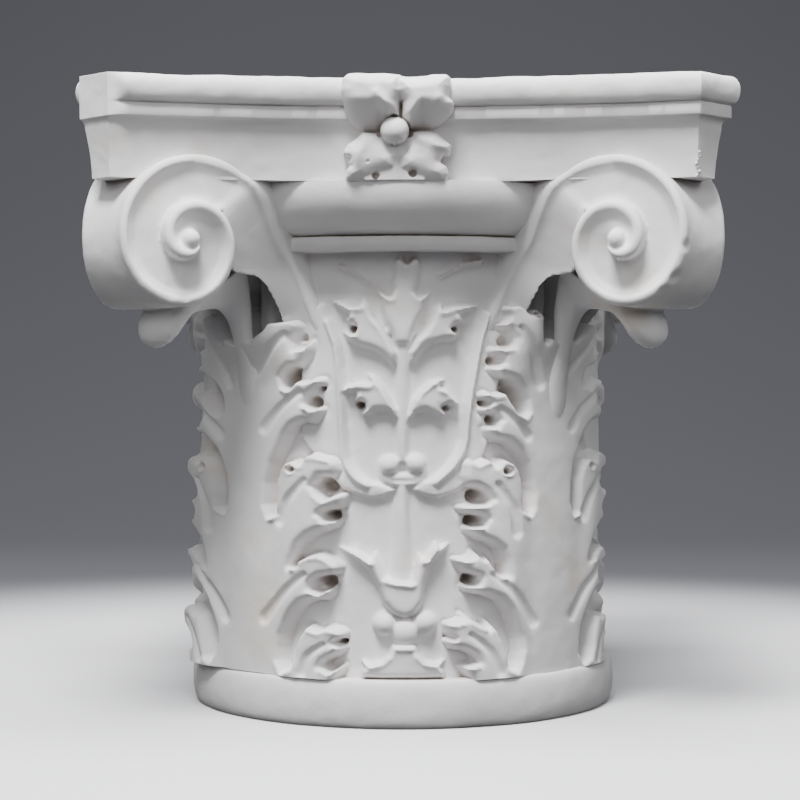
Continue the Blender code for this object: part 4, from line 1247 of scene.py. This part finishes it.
@dataclass
class Abacus:
    """The abacus: a hollow-sided slab with a flared face, a fillet and an ovolo."""

    top: float
    floor: float
    half_length: float = 197 * MM
    reach: float = 210.5 * MM
    hollow: float = 31 * MM
    moulding_projection: float = 17.7 * MM
    fillet_projection: float = 11.3 * MM
    face_flare: float = 5 * MM
    moulding_height: float = 20 * MM
    fillet_height: float = 9 * MM
    broken_projection: float = 8.5 * MM
    broken_reach: float = 15 * MM
    broken_slope: float = 13 * MM
    cove_height: float = 7 * MM
    arris_depth: float = 9 * MM
    arris_from: float = 165 * MM
    arris_reach: float = 25 * MM
    seam_length: float = 15 * MM
    side_steps: int = 190
    cant_steps: int = 20
    hand_wear: float = 1.6 * MM
    fine_wear: float = 0.6 * MM
    most_triangles: int = 190000

    def outline(self, projection: float, level: float) -> Array:
        """The abacus in plan at one level, with its broken corner.

        Args:
            projection: How far the moulding stands out there.
            level: The height.

        Returns:
            Places round the four hollow sides and the four canted corners.
        """
        sides = []
        along = np.linspace(-1, 1, self.side_steps)
        for quarter in range(4):
            stand = np.full(along.shape, projection)
            if level > self.top - self.moulding_height - self.fillet_height - 1 * MM:
                for broken_quarter, end in ((0, -1), (3, 1)):
                    if quarter == broken_quarter:
                        gap = np.abs(along - end) * self.half_length
                        loss = ease((self.broken_reach - gap) / self.broken_slope)
                        stand = stand + (min(projection, self.broken_projection) - stand) * loss
            reach = self.reach + stand - self.hollow * (1 - along**2)
            x, y = self.half_length * along, -reach
            cos, sin = math.cos(quarter * QUARTER), math.sin(quarter * QUARTER)
            sides.append(np.stack([x * cos - y * sin, x * sin + y * cos, np.full(x.shape, level)], axis=-1))
        points = []
        for quarter in range(4):
            points.append(sides[quarter])
            start, end = sides[quarter][-1], sides[(quarter + 1) % 4][0]
            shares = np.linspace(0, 1, self.cant_steps + 1)[1:-1, None]
            points.append(start + (end - start) * shares)
        return np.vstack(points)

    def levels(self) -> list[tuple[float, float]]:
        """The abacus's profile.

        Returns:
            The projection and height of each level, from its underside up.
        """
        fillet_floor = self.top - self.moulding_height - self.fillet_height
        face_top = fillet_floor - self.cove_height
        levels = [(0.0, self.floor)]
        for share in np.linspace(0, 1, 28)[1:]:
            levels.append((self.face_flare * share**1.6, self.floor + (face_top - self.floor) * share))
        cove = self.fillet_projection - self.face_flare
        for turn in np.radians(np.linspace(10, 90, 9)):
            levels.append((self.face_flare + cove * (1 - math.cos(turn)), face_top + self.cove_height * math.sin(turn)))
        levels.append((self.fillet_projection + 0.4 * MM, fillet_floor + 0.5 * MM))
        levels.append((self.fillet_projection + 0.4 * MM, fillet_floor + self.fillet_height - 1 * MM))
        levels.append((self.fillet_projection - 0.8 * MM, fillet_floor + self.fillet_height))
        for turn in np.radians(np.linspace(-62, 90, 22)):
            bulge = (self.moulding_projection - self.fillet_projection) * math.cos(turn)
            level = self.top - self.moulding_height / 2 * (1 - math.sin(turn))
            levels.append((self.fillet_projection + bulge, level))
        return levels

    def mesh(self) -> bpy.types.Mesh:
        """The abacus as rings from the underside to the middle of its top."""
        rings = [self.outline(*level) for level in self.levels()]
        inward = [rings[0] * (share, share, 1.0) for share in (0.4, 0.7, 0.9, 0.98)]
        across = [rings[-1] * (share, share, 1.0) for share in (0.985, 0.95, 0.9, 0.8, 0.6, 0.4, 0.2)]
        return grid_mesh("abacus", np.array(inward + rings + across))

    def worn_top(self, mesh: bpy.types.Mesh) -> bpy.types.Mesh:
        """Lower the top arris a little where hands and shelves have rubbed it.

        Args:
            mesh: The abacus.

        Returns:
            The same mesh, rubbed.
        """
        points = read_points(mesh)
        edge = ease((points[:, 2] - self.top + self.arris_depth) / self.arris_depth)
        reach = np.maximum(np.abs(points[:, 0]), np.abs(points[:, 1]))
        outer = ease((reach - self.arris_from) / self.arris_reach)
        angle = np.arctan2(points[:, 1], points[:, 0])
        wave = sum(np.sin(angle * k + k * k) / k**0.5 for k in (7, 13, 23, 41, 67)) / 1.6
        points[:, 2] -= edge * outer * (0.7 + 0.7 * wave) * MM
        write_points(mesh, points)
        return mesh

    def build(self, shop: Workshop) -> bpy.types.Object:
        """Make, wear and dress the abacus."""
        mesh = self.worn_top(shop.weathered(self.mesh(), self.hand_wear, self.fine_wear, self.most_triangles))
        return shop.finished("abacus", mesh)

    def seam(self, quarter: int) -> bpy.types.Mesh:
        """The path of the mould's seam down one canted corner.

        Args:
            quarter: Which corner, counted round from the front right one.

        Returns:
            A mesh of edges along the seam.
        """
        low = self.floor + 1 * MM
        high = low + self.seam_length
        points = []
        for share in np.linspace(0, 1, 12):
            drift = 1.2 * MM * math.sin(9 * share + quarter)
            stand = self.reach + self.face_flare * share**1.6
            points.append((self.half_length + drift, -stand + 0.3 * MM, low + (high - low) * share))
        path = bpy.data.meshes.new("seam")
        path.from_pydata(points, [(i, i + 1) for i in range(len(points) - 1)], [])
        path.transform(Matrix.Rotation(quarter * QUARTER, 4, "Z"))
        return path


@dataclass
class Rosette:
    """Four lobed petals round a bud, in the middle of each side of the abacus."""

    face: float
    top: float
    unit: float
    rise: float = 24 * MM
    root: float = 15 * MM
    core: float = 19 * MM
    sill: float = 375 * MM
    upper_lean: float = 13 * MM
    lower_lean: float = -4 * MM
    edge: float = 11 * MM
    bud_radius: float = 9.8 * MM
    stand_off: float = 208 * MM
    slope: float = 6 * MM
    filling_width: float = 26 * MM
    seat_radius: float = 30 * MM
    low_corner: Drawn = (334, 186)
    high_corner: Drawn = (460, 66)
    steps: int = 118
    hand_wear: float = 0.8 * MM
    fine_wear: float = 0.5 * MM
    most_triangles: int = 120000

    def set_out(self, x: float, y: float) -> tuple[float, float]:
        """Turn a drawn point into a place on the rosette's own plane."""
        scale = (ELEVATION.distance - self.stand_off / self.unit) / ELEVATION.distance * self.unit
        rise = (ELEVATION.eye_level - y) * scale
        return (x - ELEVATION.axis) * scale, rise + ELEVATION.eye_height * self.unit

    def within(self, x: Array, z: Array, leaf: Leaf) -> Array:
        """How far inside an outline each place of the plane is.

        Args:
            x: Distance to the right of the face's axis.
            z: Height over the underside.
            leaf: The outline.

        Returns:
            The distance to the outline, below zero outside it.
        """
        places = np.array([self.set_out(*point) for point in leaf.points])
        best = np.full(x.shape, np.inf)
        inside = np.zeros(x.shape, dtype=bool)
        for (ax, az), (bx, bz) in zip(places, np.roll(places, -1, axis=0)):
            span = math.hypot(bx - ax, bz - az)
            share = np.clip(((x - ax) * (bx - ax) + (z - az) * (bz - az)) / (span * span), 0.0, 1.0)
            best = np.minimum(best, np.hypot(x - ax - share * (bx - ax), z - az - share * (bz - az)))
            if az != bz:
                inside ^= ((az > z) != (bz > z)) & (x < (bx - ax) * (z - az) / (bz - az) + ax)
        return np.where(inside, best, -best)

    def stand(self, x: Array, z: Array) -> Array:
        """How far the petals and the bud stand out of the abacus's core.

        Args:
            x: Distance to the right of the face's axis.
            z: Height over the underside.

        Returns:
            The relief at each place.
        """
        middle = self.set_out(*ROSETTE_MIDDLE)
        gap = np.hypot(x - middle[0], z - middle[1])
        seam = ease((15 * MM - np.abs(x - middle[0] - 4 * MM)) / (11 * MM))
        climb = ease((z - middle[1] + 1 * MM + 9 * MM * seam) / (24 * MM))
        upper = self.root + (self.rise + self.upper_lean - self.root) * climb
        lower = self.rise + self.lower_lean * ease((middle[1] - 16 * MM - z) / (20 * MM))
        between = ease((self.filling_width - np.abs(x - middle[0])) / self.slope)
        between = between * ease((middle[1] - z + 2 * MM) / self.slope)
        between = between * ease((z - self.sill) / (5 * MM))
        out = np.maximum(self.core * between, 0.45 * self.core * ease((self.seat_radius - gap) / self.slope))
        crack = ease((6 * MM - np.abs(x - middle[0] - 3 * MM)) / (3 * MM)) * ease((z - middle[1]) / self.slope)
        out = np.maximum(out, 0.5 * upper * crack)
        for name, petal in PETALS.items():
            inside = self.within(x, z, petal)
            share = np.clip(inside / self.edge, 0.0, 1.0)
            full = upper if "upper" in name else lower
            base = 0.45 if "upper" in name else 0.62
            swelling = base + (1 - base) * np.sqrt(1.0 - (1.0 - share) ** 2)
            out = np.maximum(out, full * swelling * ease((inside + 0.7 * MM) / (1.4 * MM)))
        for spot in PETAL_HOLES:
            place = self.set_out(spot.x, spot.y)
            gap = np.hypot(x - place[0], z - place[1]) / (spot.radius * MM)
            out = out - spot.radius**2 * MM * ease((1.2 - gap) / 0.5)
        for crease in PETAL_FOLDS:
            (ax, az), (bx, bz) = (self.set_out(*point) for point in crease.points)
            span = (bx - ax) ** 2 + (bz - az) ** 2
            share = np.clip(((x - ax) * (bx - ax) + (z - az) * (bz - az)) / span, 0, 1)
            gap = np.hypot(x - ax - share * (bx - ax), z - az - share * (bz - az)) / (crease.start * MM)
            out = out + crease.end * MM * np.exp(-(gap**2)) * (out > 5 * MM)
        gap = np.hypot(x - middle[0], 1.06 * (z - middle[1] - 0.8 * MM))
        bud = self.rise - 1 * MM + np.sqrt(np.clip(self.bud_radius**2 - gap**2, 0.0, None))
        return np.where(gap < self.bud_radius, np.maximum(out, bud), out)

    def mesh(self) -> bpy.types.Mesh:
        """The front rosette as a grid of places.

        Returns:
            A closed mesh, with its back inside the abacus.
        """
        low = self.set_out(*self.low_corner)
        high = self.set_out(*self.high_corner)
        x, z = np.meshgrid(np.linspace(low[0], high[0], self.steps), np.linspace(low[1], high[1], self.steps))
        z = np.minimum(z, self.top - 0.1 * MM)
        y = -(self.face + self.stand(x, z))
        return sheet_mesh("rosette", np.stack([x, y, z], axis=-1))

    def build(self, shop: Workshop) -> bpy.types.Object:
        """Make and dress the four rosettes."""
        four = shop.repeated(self.mesh(), 4, Axis.UPRIGHT)
        return shop.finished("rosettes", shop.weathered(four, self.hand_wear, self.fine_wear, self.most_triangles))


@dataclass(frozen=True)
class Chip:
    """A knock in an arris: its place, its radius and how deep it is."""

    place: tuple[float, float, float]
    radius: float
    depth: float


@dataclass
class Volute:
    """A corner volute: two spiral discs, the barrel, two strips and a leaf tongue."""

    eye_height: float
    echinus_floor: float
    radius: float = 57.8 * MM
    shrink: float = 7.93 * MM
    oval: float = 0.92
    turn_in: float = math.radians(20.5)
    across: float = 145.5 * MM
    reach: float = 201.5 * MM
    sag: float = 1.3 * MM
    rim: float = 7.6 * MM
    rim_arris: float = 4.4 * MM
    arris_drop: float = 0.8
    bevel: float = 2.4 * MM
    rim_rise: float = 2.6 * MM
    roll_rise: float = 4.2 * MM
    dish: float = 2.6 * MM
    step: float = 8.5 * MM
    tuck: float = 9 * MM
    eye_radius: float = 6.9 * MM
    barrel_hollow: float = 4.5 * MM
    first_turn: float = -75.0
    last_turn: float = 285.0

    def spiral(self, turn: Array | float) -> Array | float:
        """Radius of the rim, for an angle in degrees from the top outwards."""
        return self.radius - self.shrink * turn / 90 + self.sag * (1 - np.cos(np.radians(turn)))

    def place(self, radius: Array, turn: Array, rise: Array) -> Array:
        """Places on the front right disc."""
        across = self.oval * radius * np.sin(np.radians(turn))
        up = radius * np.cos(np.radians(turn))
        cos, sin = math.cos(self.turn_in), math.sin(self.turn_in)
        x = self.across + across * cos - rise * sin
        y = -self.reach - across * sin - rise * cos
        return np.stack([x, y, self.eye_height + up + 0 * rise], axis=-1)

    def carving(self, radius: Array, turn: Array) -> Array:
        """Height of the spiral over the disc's face.

        Args:
            radius: Distance from the eye.
            turn: Angle from the top outwards, in degrees, on the first turn.

        Returns:
            The rise of the rim, the dish and the eye.
        """
        turn = np.where(radius < self.spiral(turn + 360), turn + 360, turn)
        inner = np.maximum(self.spiral(turn + 360), self.eye_radius)
        outer = self.spiral(turn)
        gap = np.maximum(outer - radius, 0.0)
        shown = ease((turn + 16) / 14)
        base = self.step * (0.7 * ease((turn - 195) / 165) + 0.3 * ease((turn - 380) / 160))
        base = base - self.tuck * (1 - shown) * (1 + 1.8 * ease((-28 - turn) / 30))
        rolled = ease((turn - 250) / 110)
        broad = np.minimum(self.rim + 1.2 * MM * rolled, np.maximum(outer - inner, 1 * MM))
        flat = self.rim_rise * self.section(gap, broad)
        roll = self.roll_rise * np.sqrt(np.clip(1.0 - (2 * gap / broad - 1) ** 2, 0.0, None))
        dish = -self.dish * ease((gap - broad) / (5 * MM)) * (1 - 0.4 * rolled)
        face = base + shown * (flat * (1 - rolled) + roll * rolled) + np.where(gap > broad, dish, 0.0)
        ball = 0.85 * self.step + np.sqrt(np.clip(self.eye_radius**2 - radius**2, 0.0, None))
        return np.where(radius < self.eye_radius, np.maximum(face - 2 * MM, ball), face)

    def section(self, gap: Array, broad: Array | float) -> Array:
        """A raised rim's share of its height: a soft arris, a flat and a bevel."""
        outer = np.sqrt(1.0 - (1.0 - np.clip(gap / self.rim_arris, 0.0, 1.0)) ** 2)
        return outer * ease((broad - gap) / self.bevel) - self.arris_drop * (1.0 - outer)

    def other_face(self, points: Array) -> Array:
        """Mirror places on the corner's front to its other face."""
        return np.stack([-points[..., 1], -points[..., 0], points[..., 2]], axis=-1)

    def roll(self) -> bpy.types.Mesh:
        """The two discs and the hollow barrel between them."""
        steps, inner_rings, outer_rings, barrel_steps = 420, 56, 36, 46
        turn = self.first_turn + 360 * np.arange(steps) / steps
        rim = self.spiral(turn)
        start = self.spiral(self.last_turn)
        within = np.broadcast_to(np.linspace(0.3 * MM, start, inner_rings)[:, None], (inner_rings, steps))
        beyond = start + (rim - start)[None, :] * np.linspace(0, 1, outer_rings)[1:-1, None]
        radius = np.concatenate([np.minimum(within, rim[None, :]), beyond])
        turns = np.broadcast_to(turn, radius.shape)
        rise = self.carving(radius, turns)
        level = np.minimum(self.carving(rim, turn), 0.0)
        level[-1] = level[0]
        rise[inner_rings:, -1] = level[0]
        front = self.place(radius, turns, rise)
        edge = self.place(rim, turn, level)
        other = self.other_face(edge)
        eye = self.place(np.zeros(1), np.zeros(1), np.zeros(1))[0]
        axis = (eye + self.other_face(eye)) / 2
        barrel = []
        for share in np.linspace(0, 1, barrel_steps):
            where = edge + (other - edge) * share
            inward = axis - where
            inward /= np.linalg.norm(inward, axis=1)[:, None]
            waist = self.barrel_hollow * (0.4 + 0.6 * np.cos(np.radians(turn)))[:, None]
            barrel.append(where + inward * waist * (4 * share * (1 - share)) ** 0.8)
        rows = np.concatenate([front, np.array(barrel), self.other_face(front)[::-1]])
        return grid_mesh("roll", rows)

    def strip_stations(self) -> Array:
        """The strip's fillet edge, its other edge and its thickness at each station."""
        rows = []
        for turn, sink, hollow in STRIP_START:
            swell = 1 + 0.08 * max(0.0, -turn - 20) / 40
            fillet = self.place(np.array(self.spiral(turn) * swell), np.array(turn), np.array(-sink * MM))
            edge = self.place(np.array(self.spiral(turn + 360)), np.array(turn), np.array(-(sink + 1) * MM))
            rows.append((*fillet, *edge, 26 * MM, hollow))
        for fillet_x, fillet_y, edge_x, edge_y, rise, fall, depth in STRIP_DROP:
            up = self.echinus_floor / MM + rise
            place = tuple(v * MM for v in (fillet_x, -fillet_y, up, edge_x, -edge_y, up - fall, depth))
            rows.append((*place, 0.5))
        return np.array(rows)

    def strip(self) -> bpy.types.Mesh:
        """The band that climbs from the bell over the echinus to the spiral."""
        rings = []
        for row in flowing(self.strip_stations(), 110):
            fillet, edge, thickness, hollow = row[:3], row[3:6], row[6], row[7]
            back = -(fillet + edge)
            back[2] = 0
            back /= np.linalg.norm(back)
            width = float(np.linalg.norm(edge - fillet))
            gap = np.linspace(0, 1, 34) * width
            dish = self.dish * hollow * ease((gap - self.rim) / (5 * MM)) * ease((width - gap) / (5 * MM))
            rise = self.rim_rise * self.section(gap, self.rim) - dish
            face = fillet + (edge - fillet) * (gap / width)[:, None] - back * rise[:, None]
            depth = np.linspace(0, 1, 10)[1:, None] * thickness * back
            rings.append(np.vstack([face, edge + depth, (fillet + depth)[::-1]]))
        return grid_mesh("strip", np.array(rings))

    def tongue(self) -> bpy.types.Mesh:
        """The corner leaf's stem and the cupped tongue that it ends in."""
        rows = flowing(np.array(TONGUE_STATIONS) * MM, 80)
        centre = np.stack([rows[:, 0], 0 * rows[:, 0], rows[:, 1]], axis=-1)
        ahead = np.gradient(centre, axis=0)
        normal = np.stack([-ahead[:, 2], 0 * ahead[:, 0], ahead[:, 0]], axis=-1)
        normal /= np.linalg.norm(normal, axis=1)[:, None]
        half, thick = rows[:, 2], rows[:, 3] / 2
        turn = np.linspace(0, math.tau, 64, endpoint=False)
        side = np.cos(turn)[None, :] * half[:, None]
        rise = np.sin(turn)[None, :] * thick[:, None]
        points = centre[:, None, :] + normal[:, None, :] * rise[..., None]
        points[..., 1] += side
        points[..., 2] += rows[:, 4][:, None] * np.cos(turn)[None, :] ** 2
        cos, sin = math.cos(-math.pi / 4), math.sin(-math.pi / 4)
        x, y = points[..., 0].copy(), points[..., 1].copy()
        points[..., 0], points[..., 1] = x * cos - y * sin, x * sin + y * cos
        return grid_mesh("tongue", points)

    def chipped(self, mesh: bpy.types.Mesh, chips: Iterable[Chip]) -> bpy.types.Mesh:
        """Knock small flats out of the arrises.

        Args:
            mesh: The fused volutes.
            chips: Where the knocks are.

        Returns:
            The same mesh, chipped.
        """
        points = read_points(mesh)
        for chip in chips:
            away = points - np.array(chip.place)
            gap = np.linalg.norm(away, axis=1)
            near = gap < chip.radius
            middle = points[near].mean(axis=0) if near.any() else np.zeros(3)
            inward = -np.array([middle[0], middle[1], 0.0])
            inward /= max(float(np.linalg.norm(inward)), 1e-6)
            share = ease((chip.radius - gap) / chip.radius)
            points += inward * (share * chip.depth)[:, None]
        write_points(mesh, points)
        return mesh

    def build(self, shop: Workshop) -> bpy.types.Object:
        """Make, fuse, chip and dress the four volutes."""
        strip = self.strip()
        mirrored = strip.copy()
        write_points(mirrored, self.other_face(read_points(strip)))
        mirrored.flip_normals()
        corner = shop.gathered("corner", [self.roll(), strip, mirrored, self.tongue()])
        four = shop.repeated(corner, 4, Axis.UPRIGHT)
        fused = self.chipped(shop.fused(four, 1.15 * MM, 2), VOLUTE_CHIPS)
        return shop.finished("volutes", shop.weathered(fused, 1.0 * MM, 0.5 * MM, 197000))


# The corner leaf's stem and tongue: reach, height, half-width, thickness, and how
# far its sides curl up, in mm
TONGUE_STATIONS = (
    (149, 205, 13, 14, 0),
    (155, 240, 10.5, 14, 0),
    (160, 262, 8.5, 13, 0),
    (164, 278, 10, 12, 3),
    (170, 291, 16, 12, 12),
    (183, 300, 25, 12, 22),
    (203, 300, 26, 14, 12),
    (222, 297, 23, 19, 2),
    (234, 288, 22, 21, 0),
    (240, 277, 19, 19, 0),
    (240, 270, 12, 14, 0),
    (239, 267, 4, 6, 0),
)
# The strip where it leaves the volute: the angle round the spiral, how far it sinks
# under the disc's face there in mm, and how hollow it is
STRIP_START = (
    (24, 6, 1.0),
    (12, 0.8, 1.0),
    (-1, 0, 1.0),
    (-20, 0, 1.0),
    (-40, 0, 0.9),
    (-58, 0, 0.7),
)
# Then its way down past the echinus, in mm: the fillet's place across and out, the
# inner edge's place across and out, the rise over the echinus's foot, how far the
# inner edge falls below the fillet, and the thickness
STRIP_DROP = (
    (83.5, 160, 121, 177, -2, 20, 36),
    (74.5, 147, 101, 161, -17, 12, 32),
    (66, 141, 90, 146, -35, 12, 30),
    (59.5, 141, 83, 130, -55, 12, 22),
    (55, 139, 78, 122, -68, 12, 14),
    (51, 136.5, 74, 113, -82, 12, 11),
)
VOLUTE_CHIPS = (
    Chip((-158 * MM, -208 * MM, 303 * MM), 9 * MM, 2.5 * MM),
    Chip((-148 * MM, -205 * MM, 299 * MM), 6 * MM, 2.0 * MM),
    Chip((183 * MM, -215 * MM, 312 * MM), 8 * MM, 2.5 * MM),
    Chip((188 * MM, -217 * MM, 334 * MM), 6 * MM, 1.6 * MM),
    Chip((175 * MM, -212 * MM, 303 * MM), 7 * MM, 2.0 * MM),
)


# Each soft box: its name, where it hangs, its side in metres and its power in watts
SOFT_BOXES = (
    ("key_softbox", (-0.32, -1.15, 2.2), 0.7, 114),
    ("top_softbox", (0.1, -0.30, 2.2), 0.9, 58),
    ("front_softbox", (-0.2, -2.4, 1.3), 1.2, 16),
    ("left_softbox", (-2.0, -0.9, 1.9), 1.2, 11),
    ("right_softbox", (2.0, -0.9, 1.7), 1.2, 15),
)


@dataclass
class Studio:
    """A pale floor, soft lights and the camera."""

    unit: float
    distance: float = 1950.0
    eye_height: float = 313.6
    off_axis: float = -3.0
    pitch: float = math.radians(0.588)
    lens: float = 87.75
    floor_size: float = 8.0
    wall: float = 1.4
    bend: float = 1.6
    world_tone: str = "#a3a5aa"
    world_strength: float = 0.20
    sensor_width: float = 36.0

    def floor(self) -> None:
        """The floor that the capital stands on, swept up behind it into a wall."""
        sweep = np.radians(np.linspace(0, 90, 49))
        profile = [(-self.floor_size, 0.0), (0.0, 0.0)]
        profile += [(self.wall + self.bend * math.sin(t), self.bend * (1 - math.cos(t))) for t in sweep]
        profile.append((self.wall + self.bend, self.bend + self.floor_size))
        points = [(side * self.floor_size, y, z) for y, z in profile for side in (-1, 1)]
        faces = [(k, k + 1, k + 3, k + 2) for k in range(0, len(points) - 2, 2)]
        paper = bpy.data.meshes.new("studio_floor")
        paper.from_pydata(points, [], faces)
        paper.shade_smooth()
        floor = bpy.data.objects.new("studio_floor", paper)
        bpy.context.scene.collection.objects.link(floor)
        floor.data.materials.append(StudioPaper().material())
        floor.visible_diffuse = False

    def light(
        self, name: str, place: Sequence[float], target: Sequence[float], size: float, watts: float
    ) -> None:
        """One square soft box.

        Args:
            name: The light's name.
            place: Where it hangs.
            target: What it points at.
            size: Its side.
            watts: Its power.
        """
        lamp = bpy.data.lights.new(name, "AREA")
        lamp.size = size
        lamp.energy = watts
        thing = bpy.data.objects.new(name, lamp)
        bpy.context.scene.collection.objects.link(thing)
        thing.location = place
        thing.rotation_euler = (Vector(target) - Vector(place)).to_track_quat("-Z", "Y").to_euler()

    def lights(self) -> None:
        """Light from above, weaker soft boxes in front and at the sides, and grey surroundings."""
        middle = (0.0, 0.0, 0.25)
        for name, place, size, watts in SOFT_BOXES:
            self.light(name, place, middle, size, watts)
        world = bpy.data.worlds.new("surroundings")
        world.use_nodes = True
        world.node_tree.nodes["Background"].inputs["Color"].default_value = linear(self.world_tone)
        world.node_tree.nodes["Background"].inputs["Strength"].default_value = self.world_strength
        bpy.context.scene.world = world

    def camera(self) -> None:
        """The camera at the photograph's viewing angle."""
        data = bpy.data.cameras.new("camera")
        data.lens = self.lens
        data.sensor_width = self.sensor_width
        camera = bpy.data.objects.new("camera", data)
        bpy.context.scene.collection.objects.link(camera)
        camera.location = (self.off_axis * self.unit, -self.distance * self.unit, self.eye_height * self.unit)
        camera.rotation_euler = (QUARTER - self.pitch, 0.0, 0.0)
        bpy.context.scene.camera = camera

    def build(self) -> None:
        """Set up the studio."""
        self.floor()
        self.lights()
        self.camera()


def seam_beads(shop: Workshop, abacus: Abacus) -> bpy.types.Object:
    """Small beads of plaster that the mould's seams left on two corners."""
    beads = [
        shop.grown(
            abacus.seam(corner), shop.beads, spacing=BEAD_SPACING, radius=BEAD_RADIUS, seed=BEAD_SEED + corner
        )
        for corner in BEADED_CORNERS
    ]
    return shop.finished("seam_beads", shop.gathered("seam_beads", beads))


def main() -> None:
    """Build the casting's pieces in order, then the studio."""
    logging.basicConfig(level=logging.INFO, format="%(name)s %(message)s")
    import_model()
    low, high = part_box("capital")
    height = high[2]
    unit = height / ELEVATION.height
    shop = Workshop(CastPlaster().material(), low, high)
    abacus = Abacus(top=height, floor=height - ABACUS_HEIGHT)
    bell = Bell(height=height, abacus_floor=abacus.floor)
    volute = Volute(
        eye_height=abacus.floor + VOLUTE_RISE_INTO_ABACUS - Volute.radius,
        echinus_floor=abacus.floor - bell.echinus_height,
    )
    rosette = Rosette(face=abacus.reach - abacus.hollow - 2 * MM, top=height, unit=unit)
    bell.build(shop)
    volute.build(shop)
    abacus.build(shop)
    rosette.build(shop)
    seam_beads(shop, abacus)
    Studio(unit=unit).build()


if __name__ == "__main__":
    main()
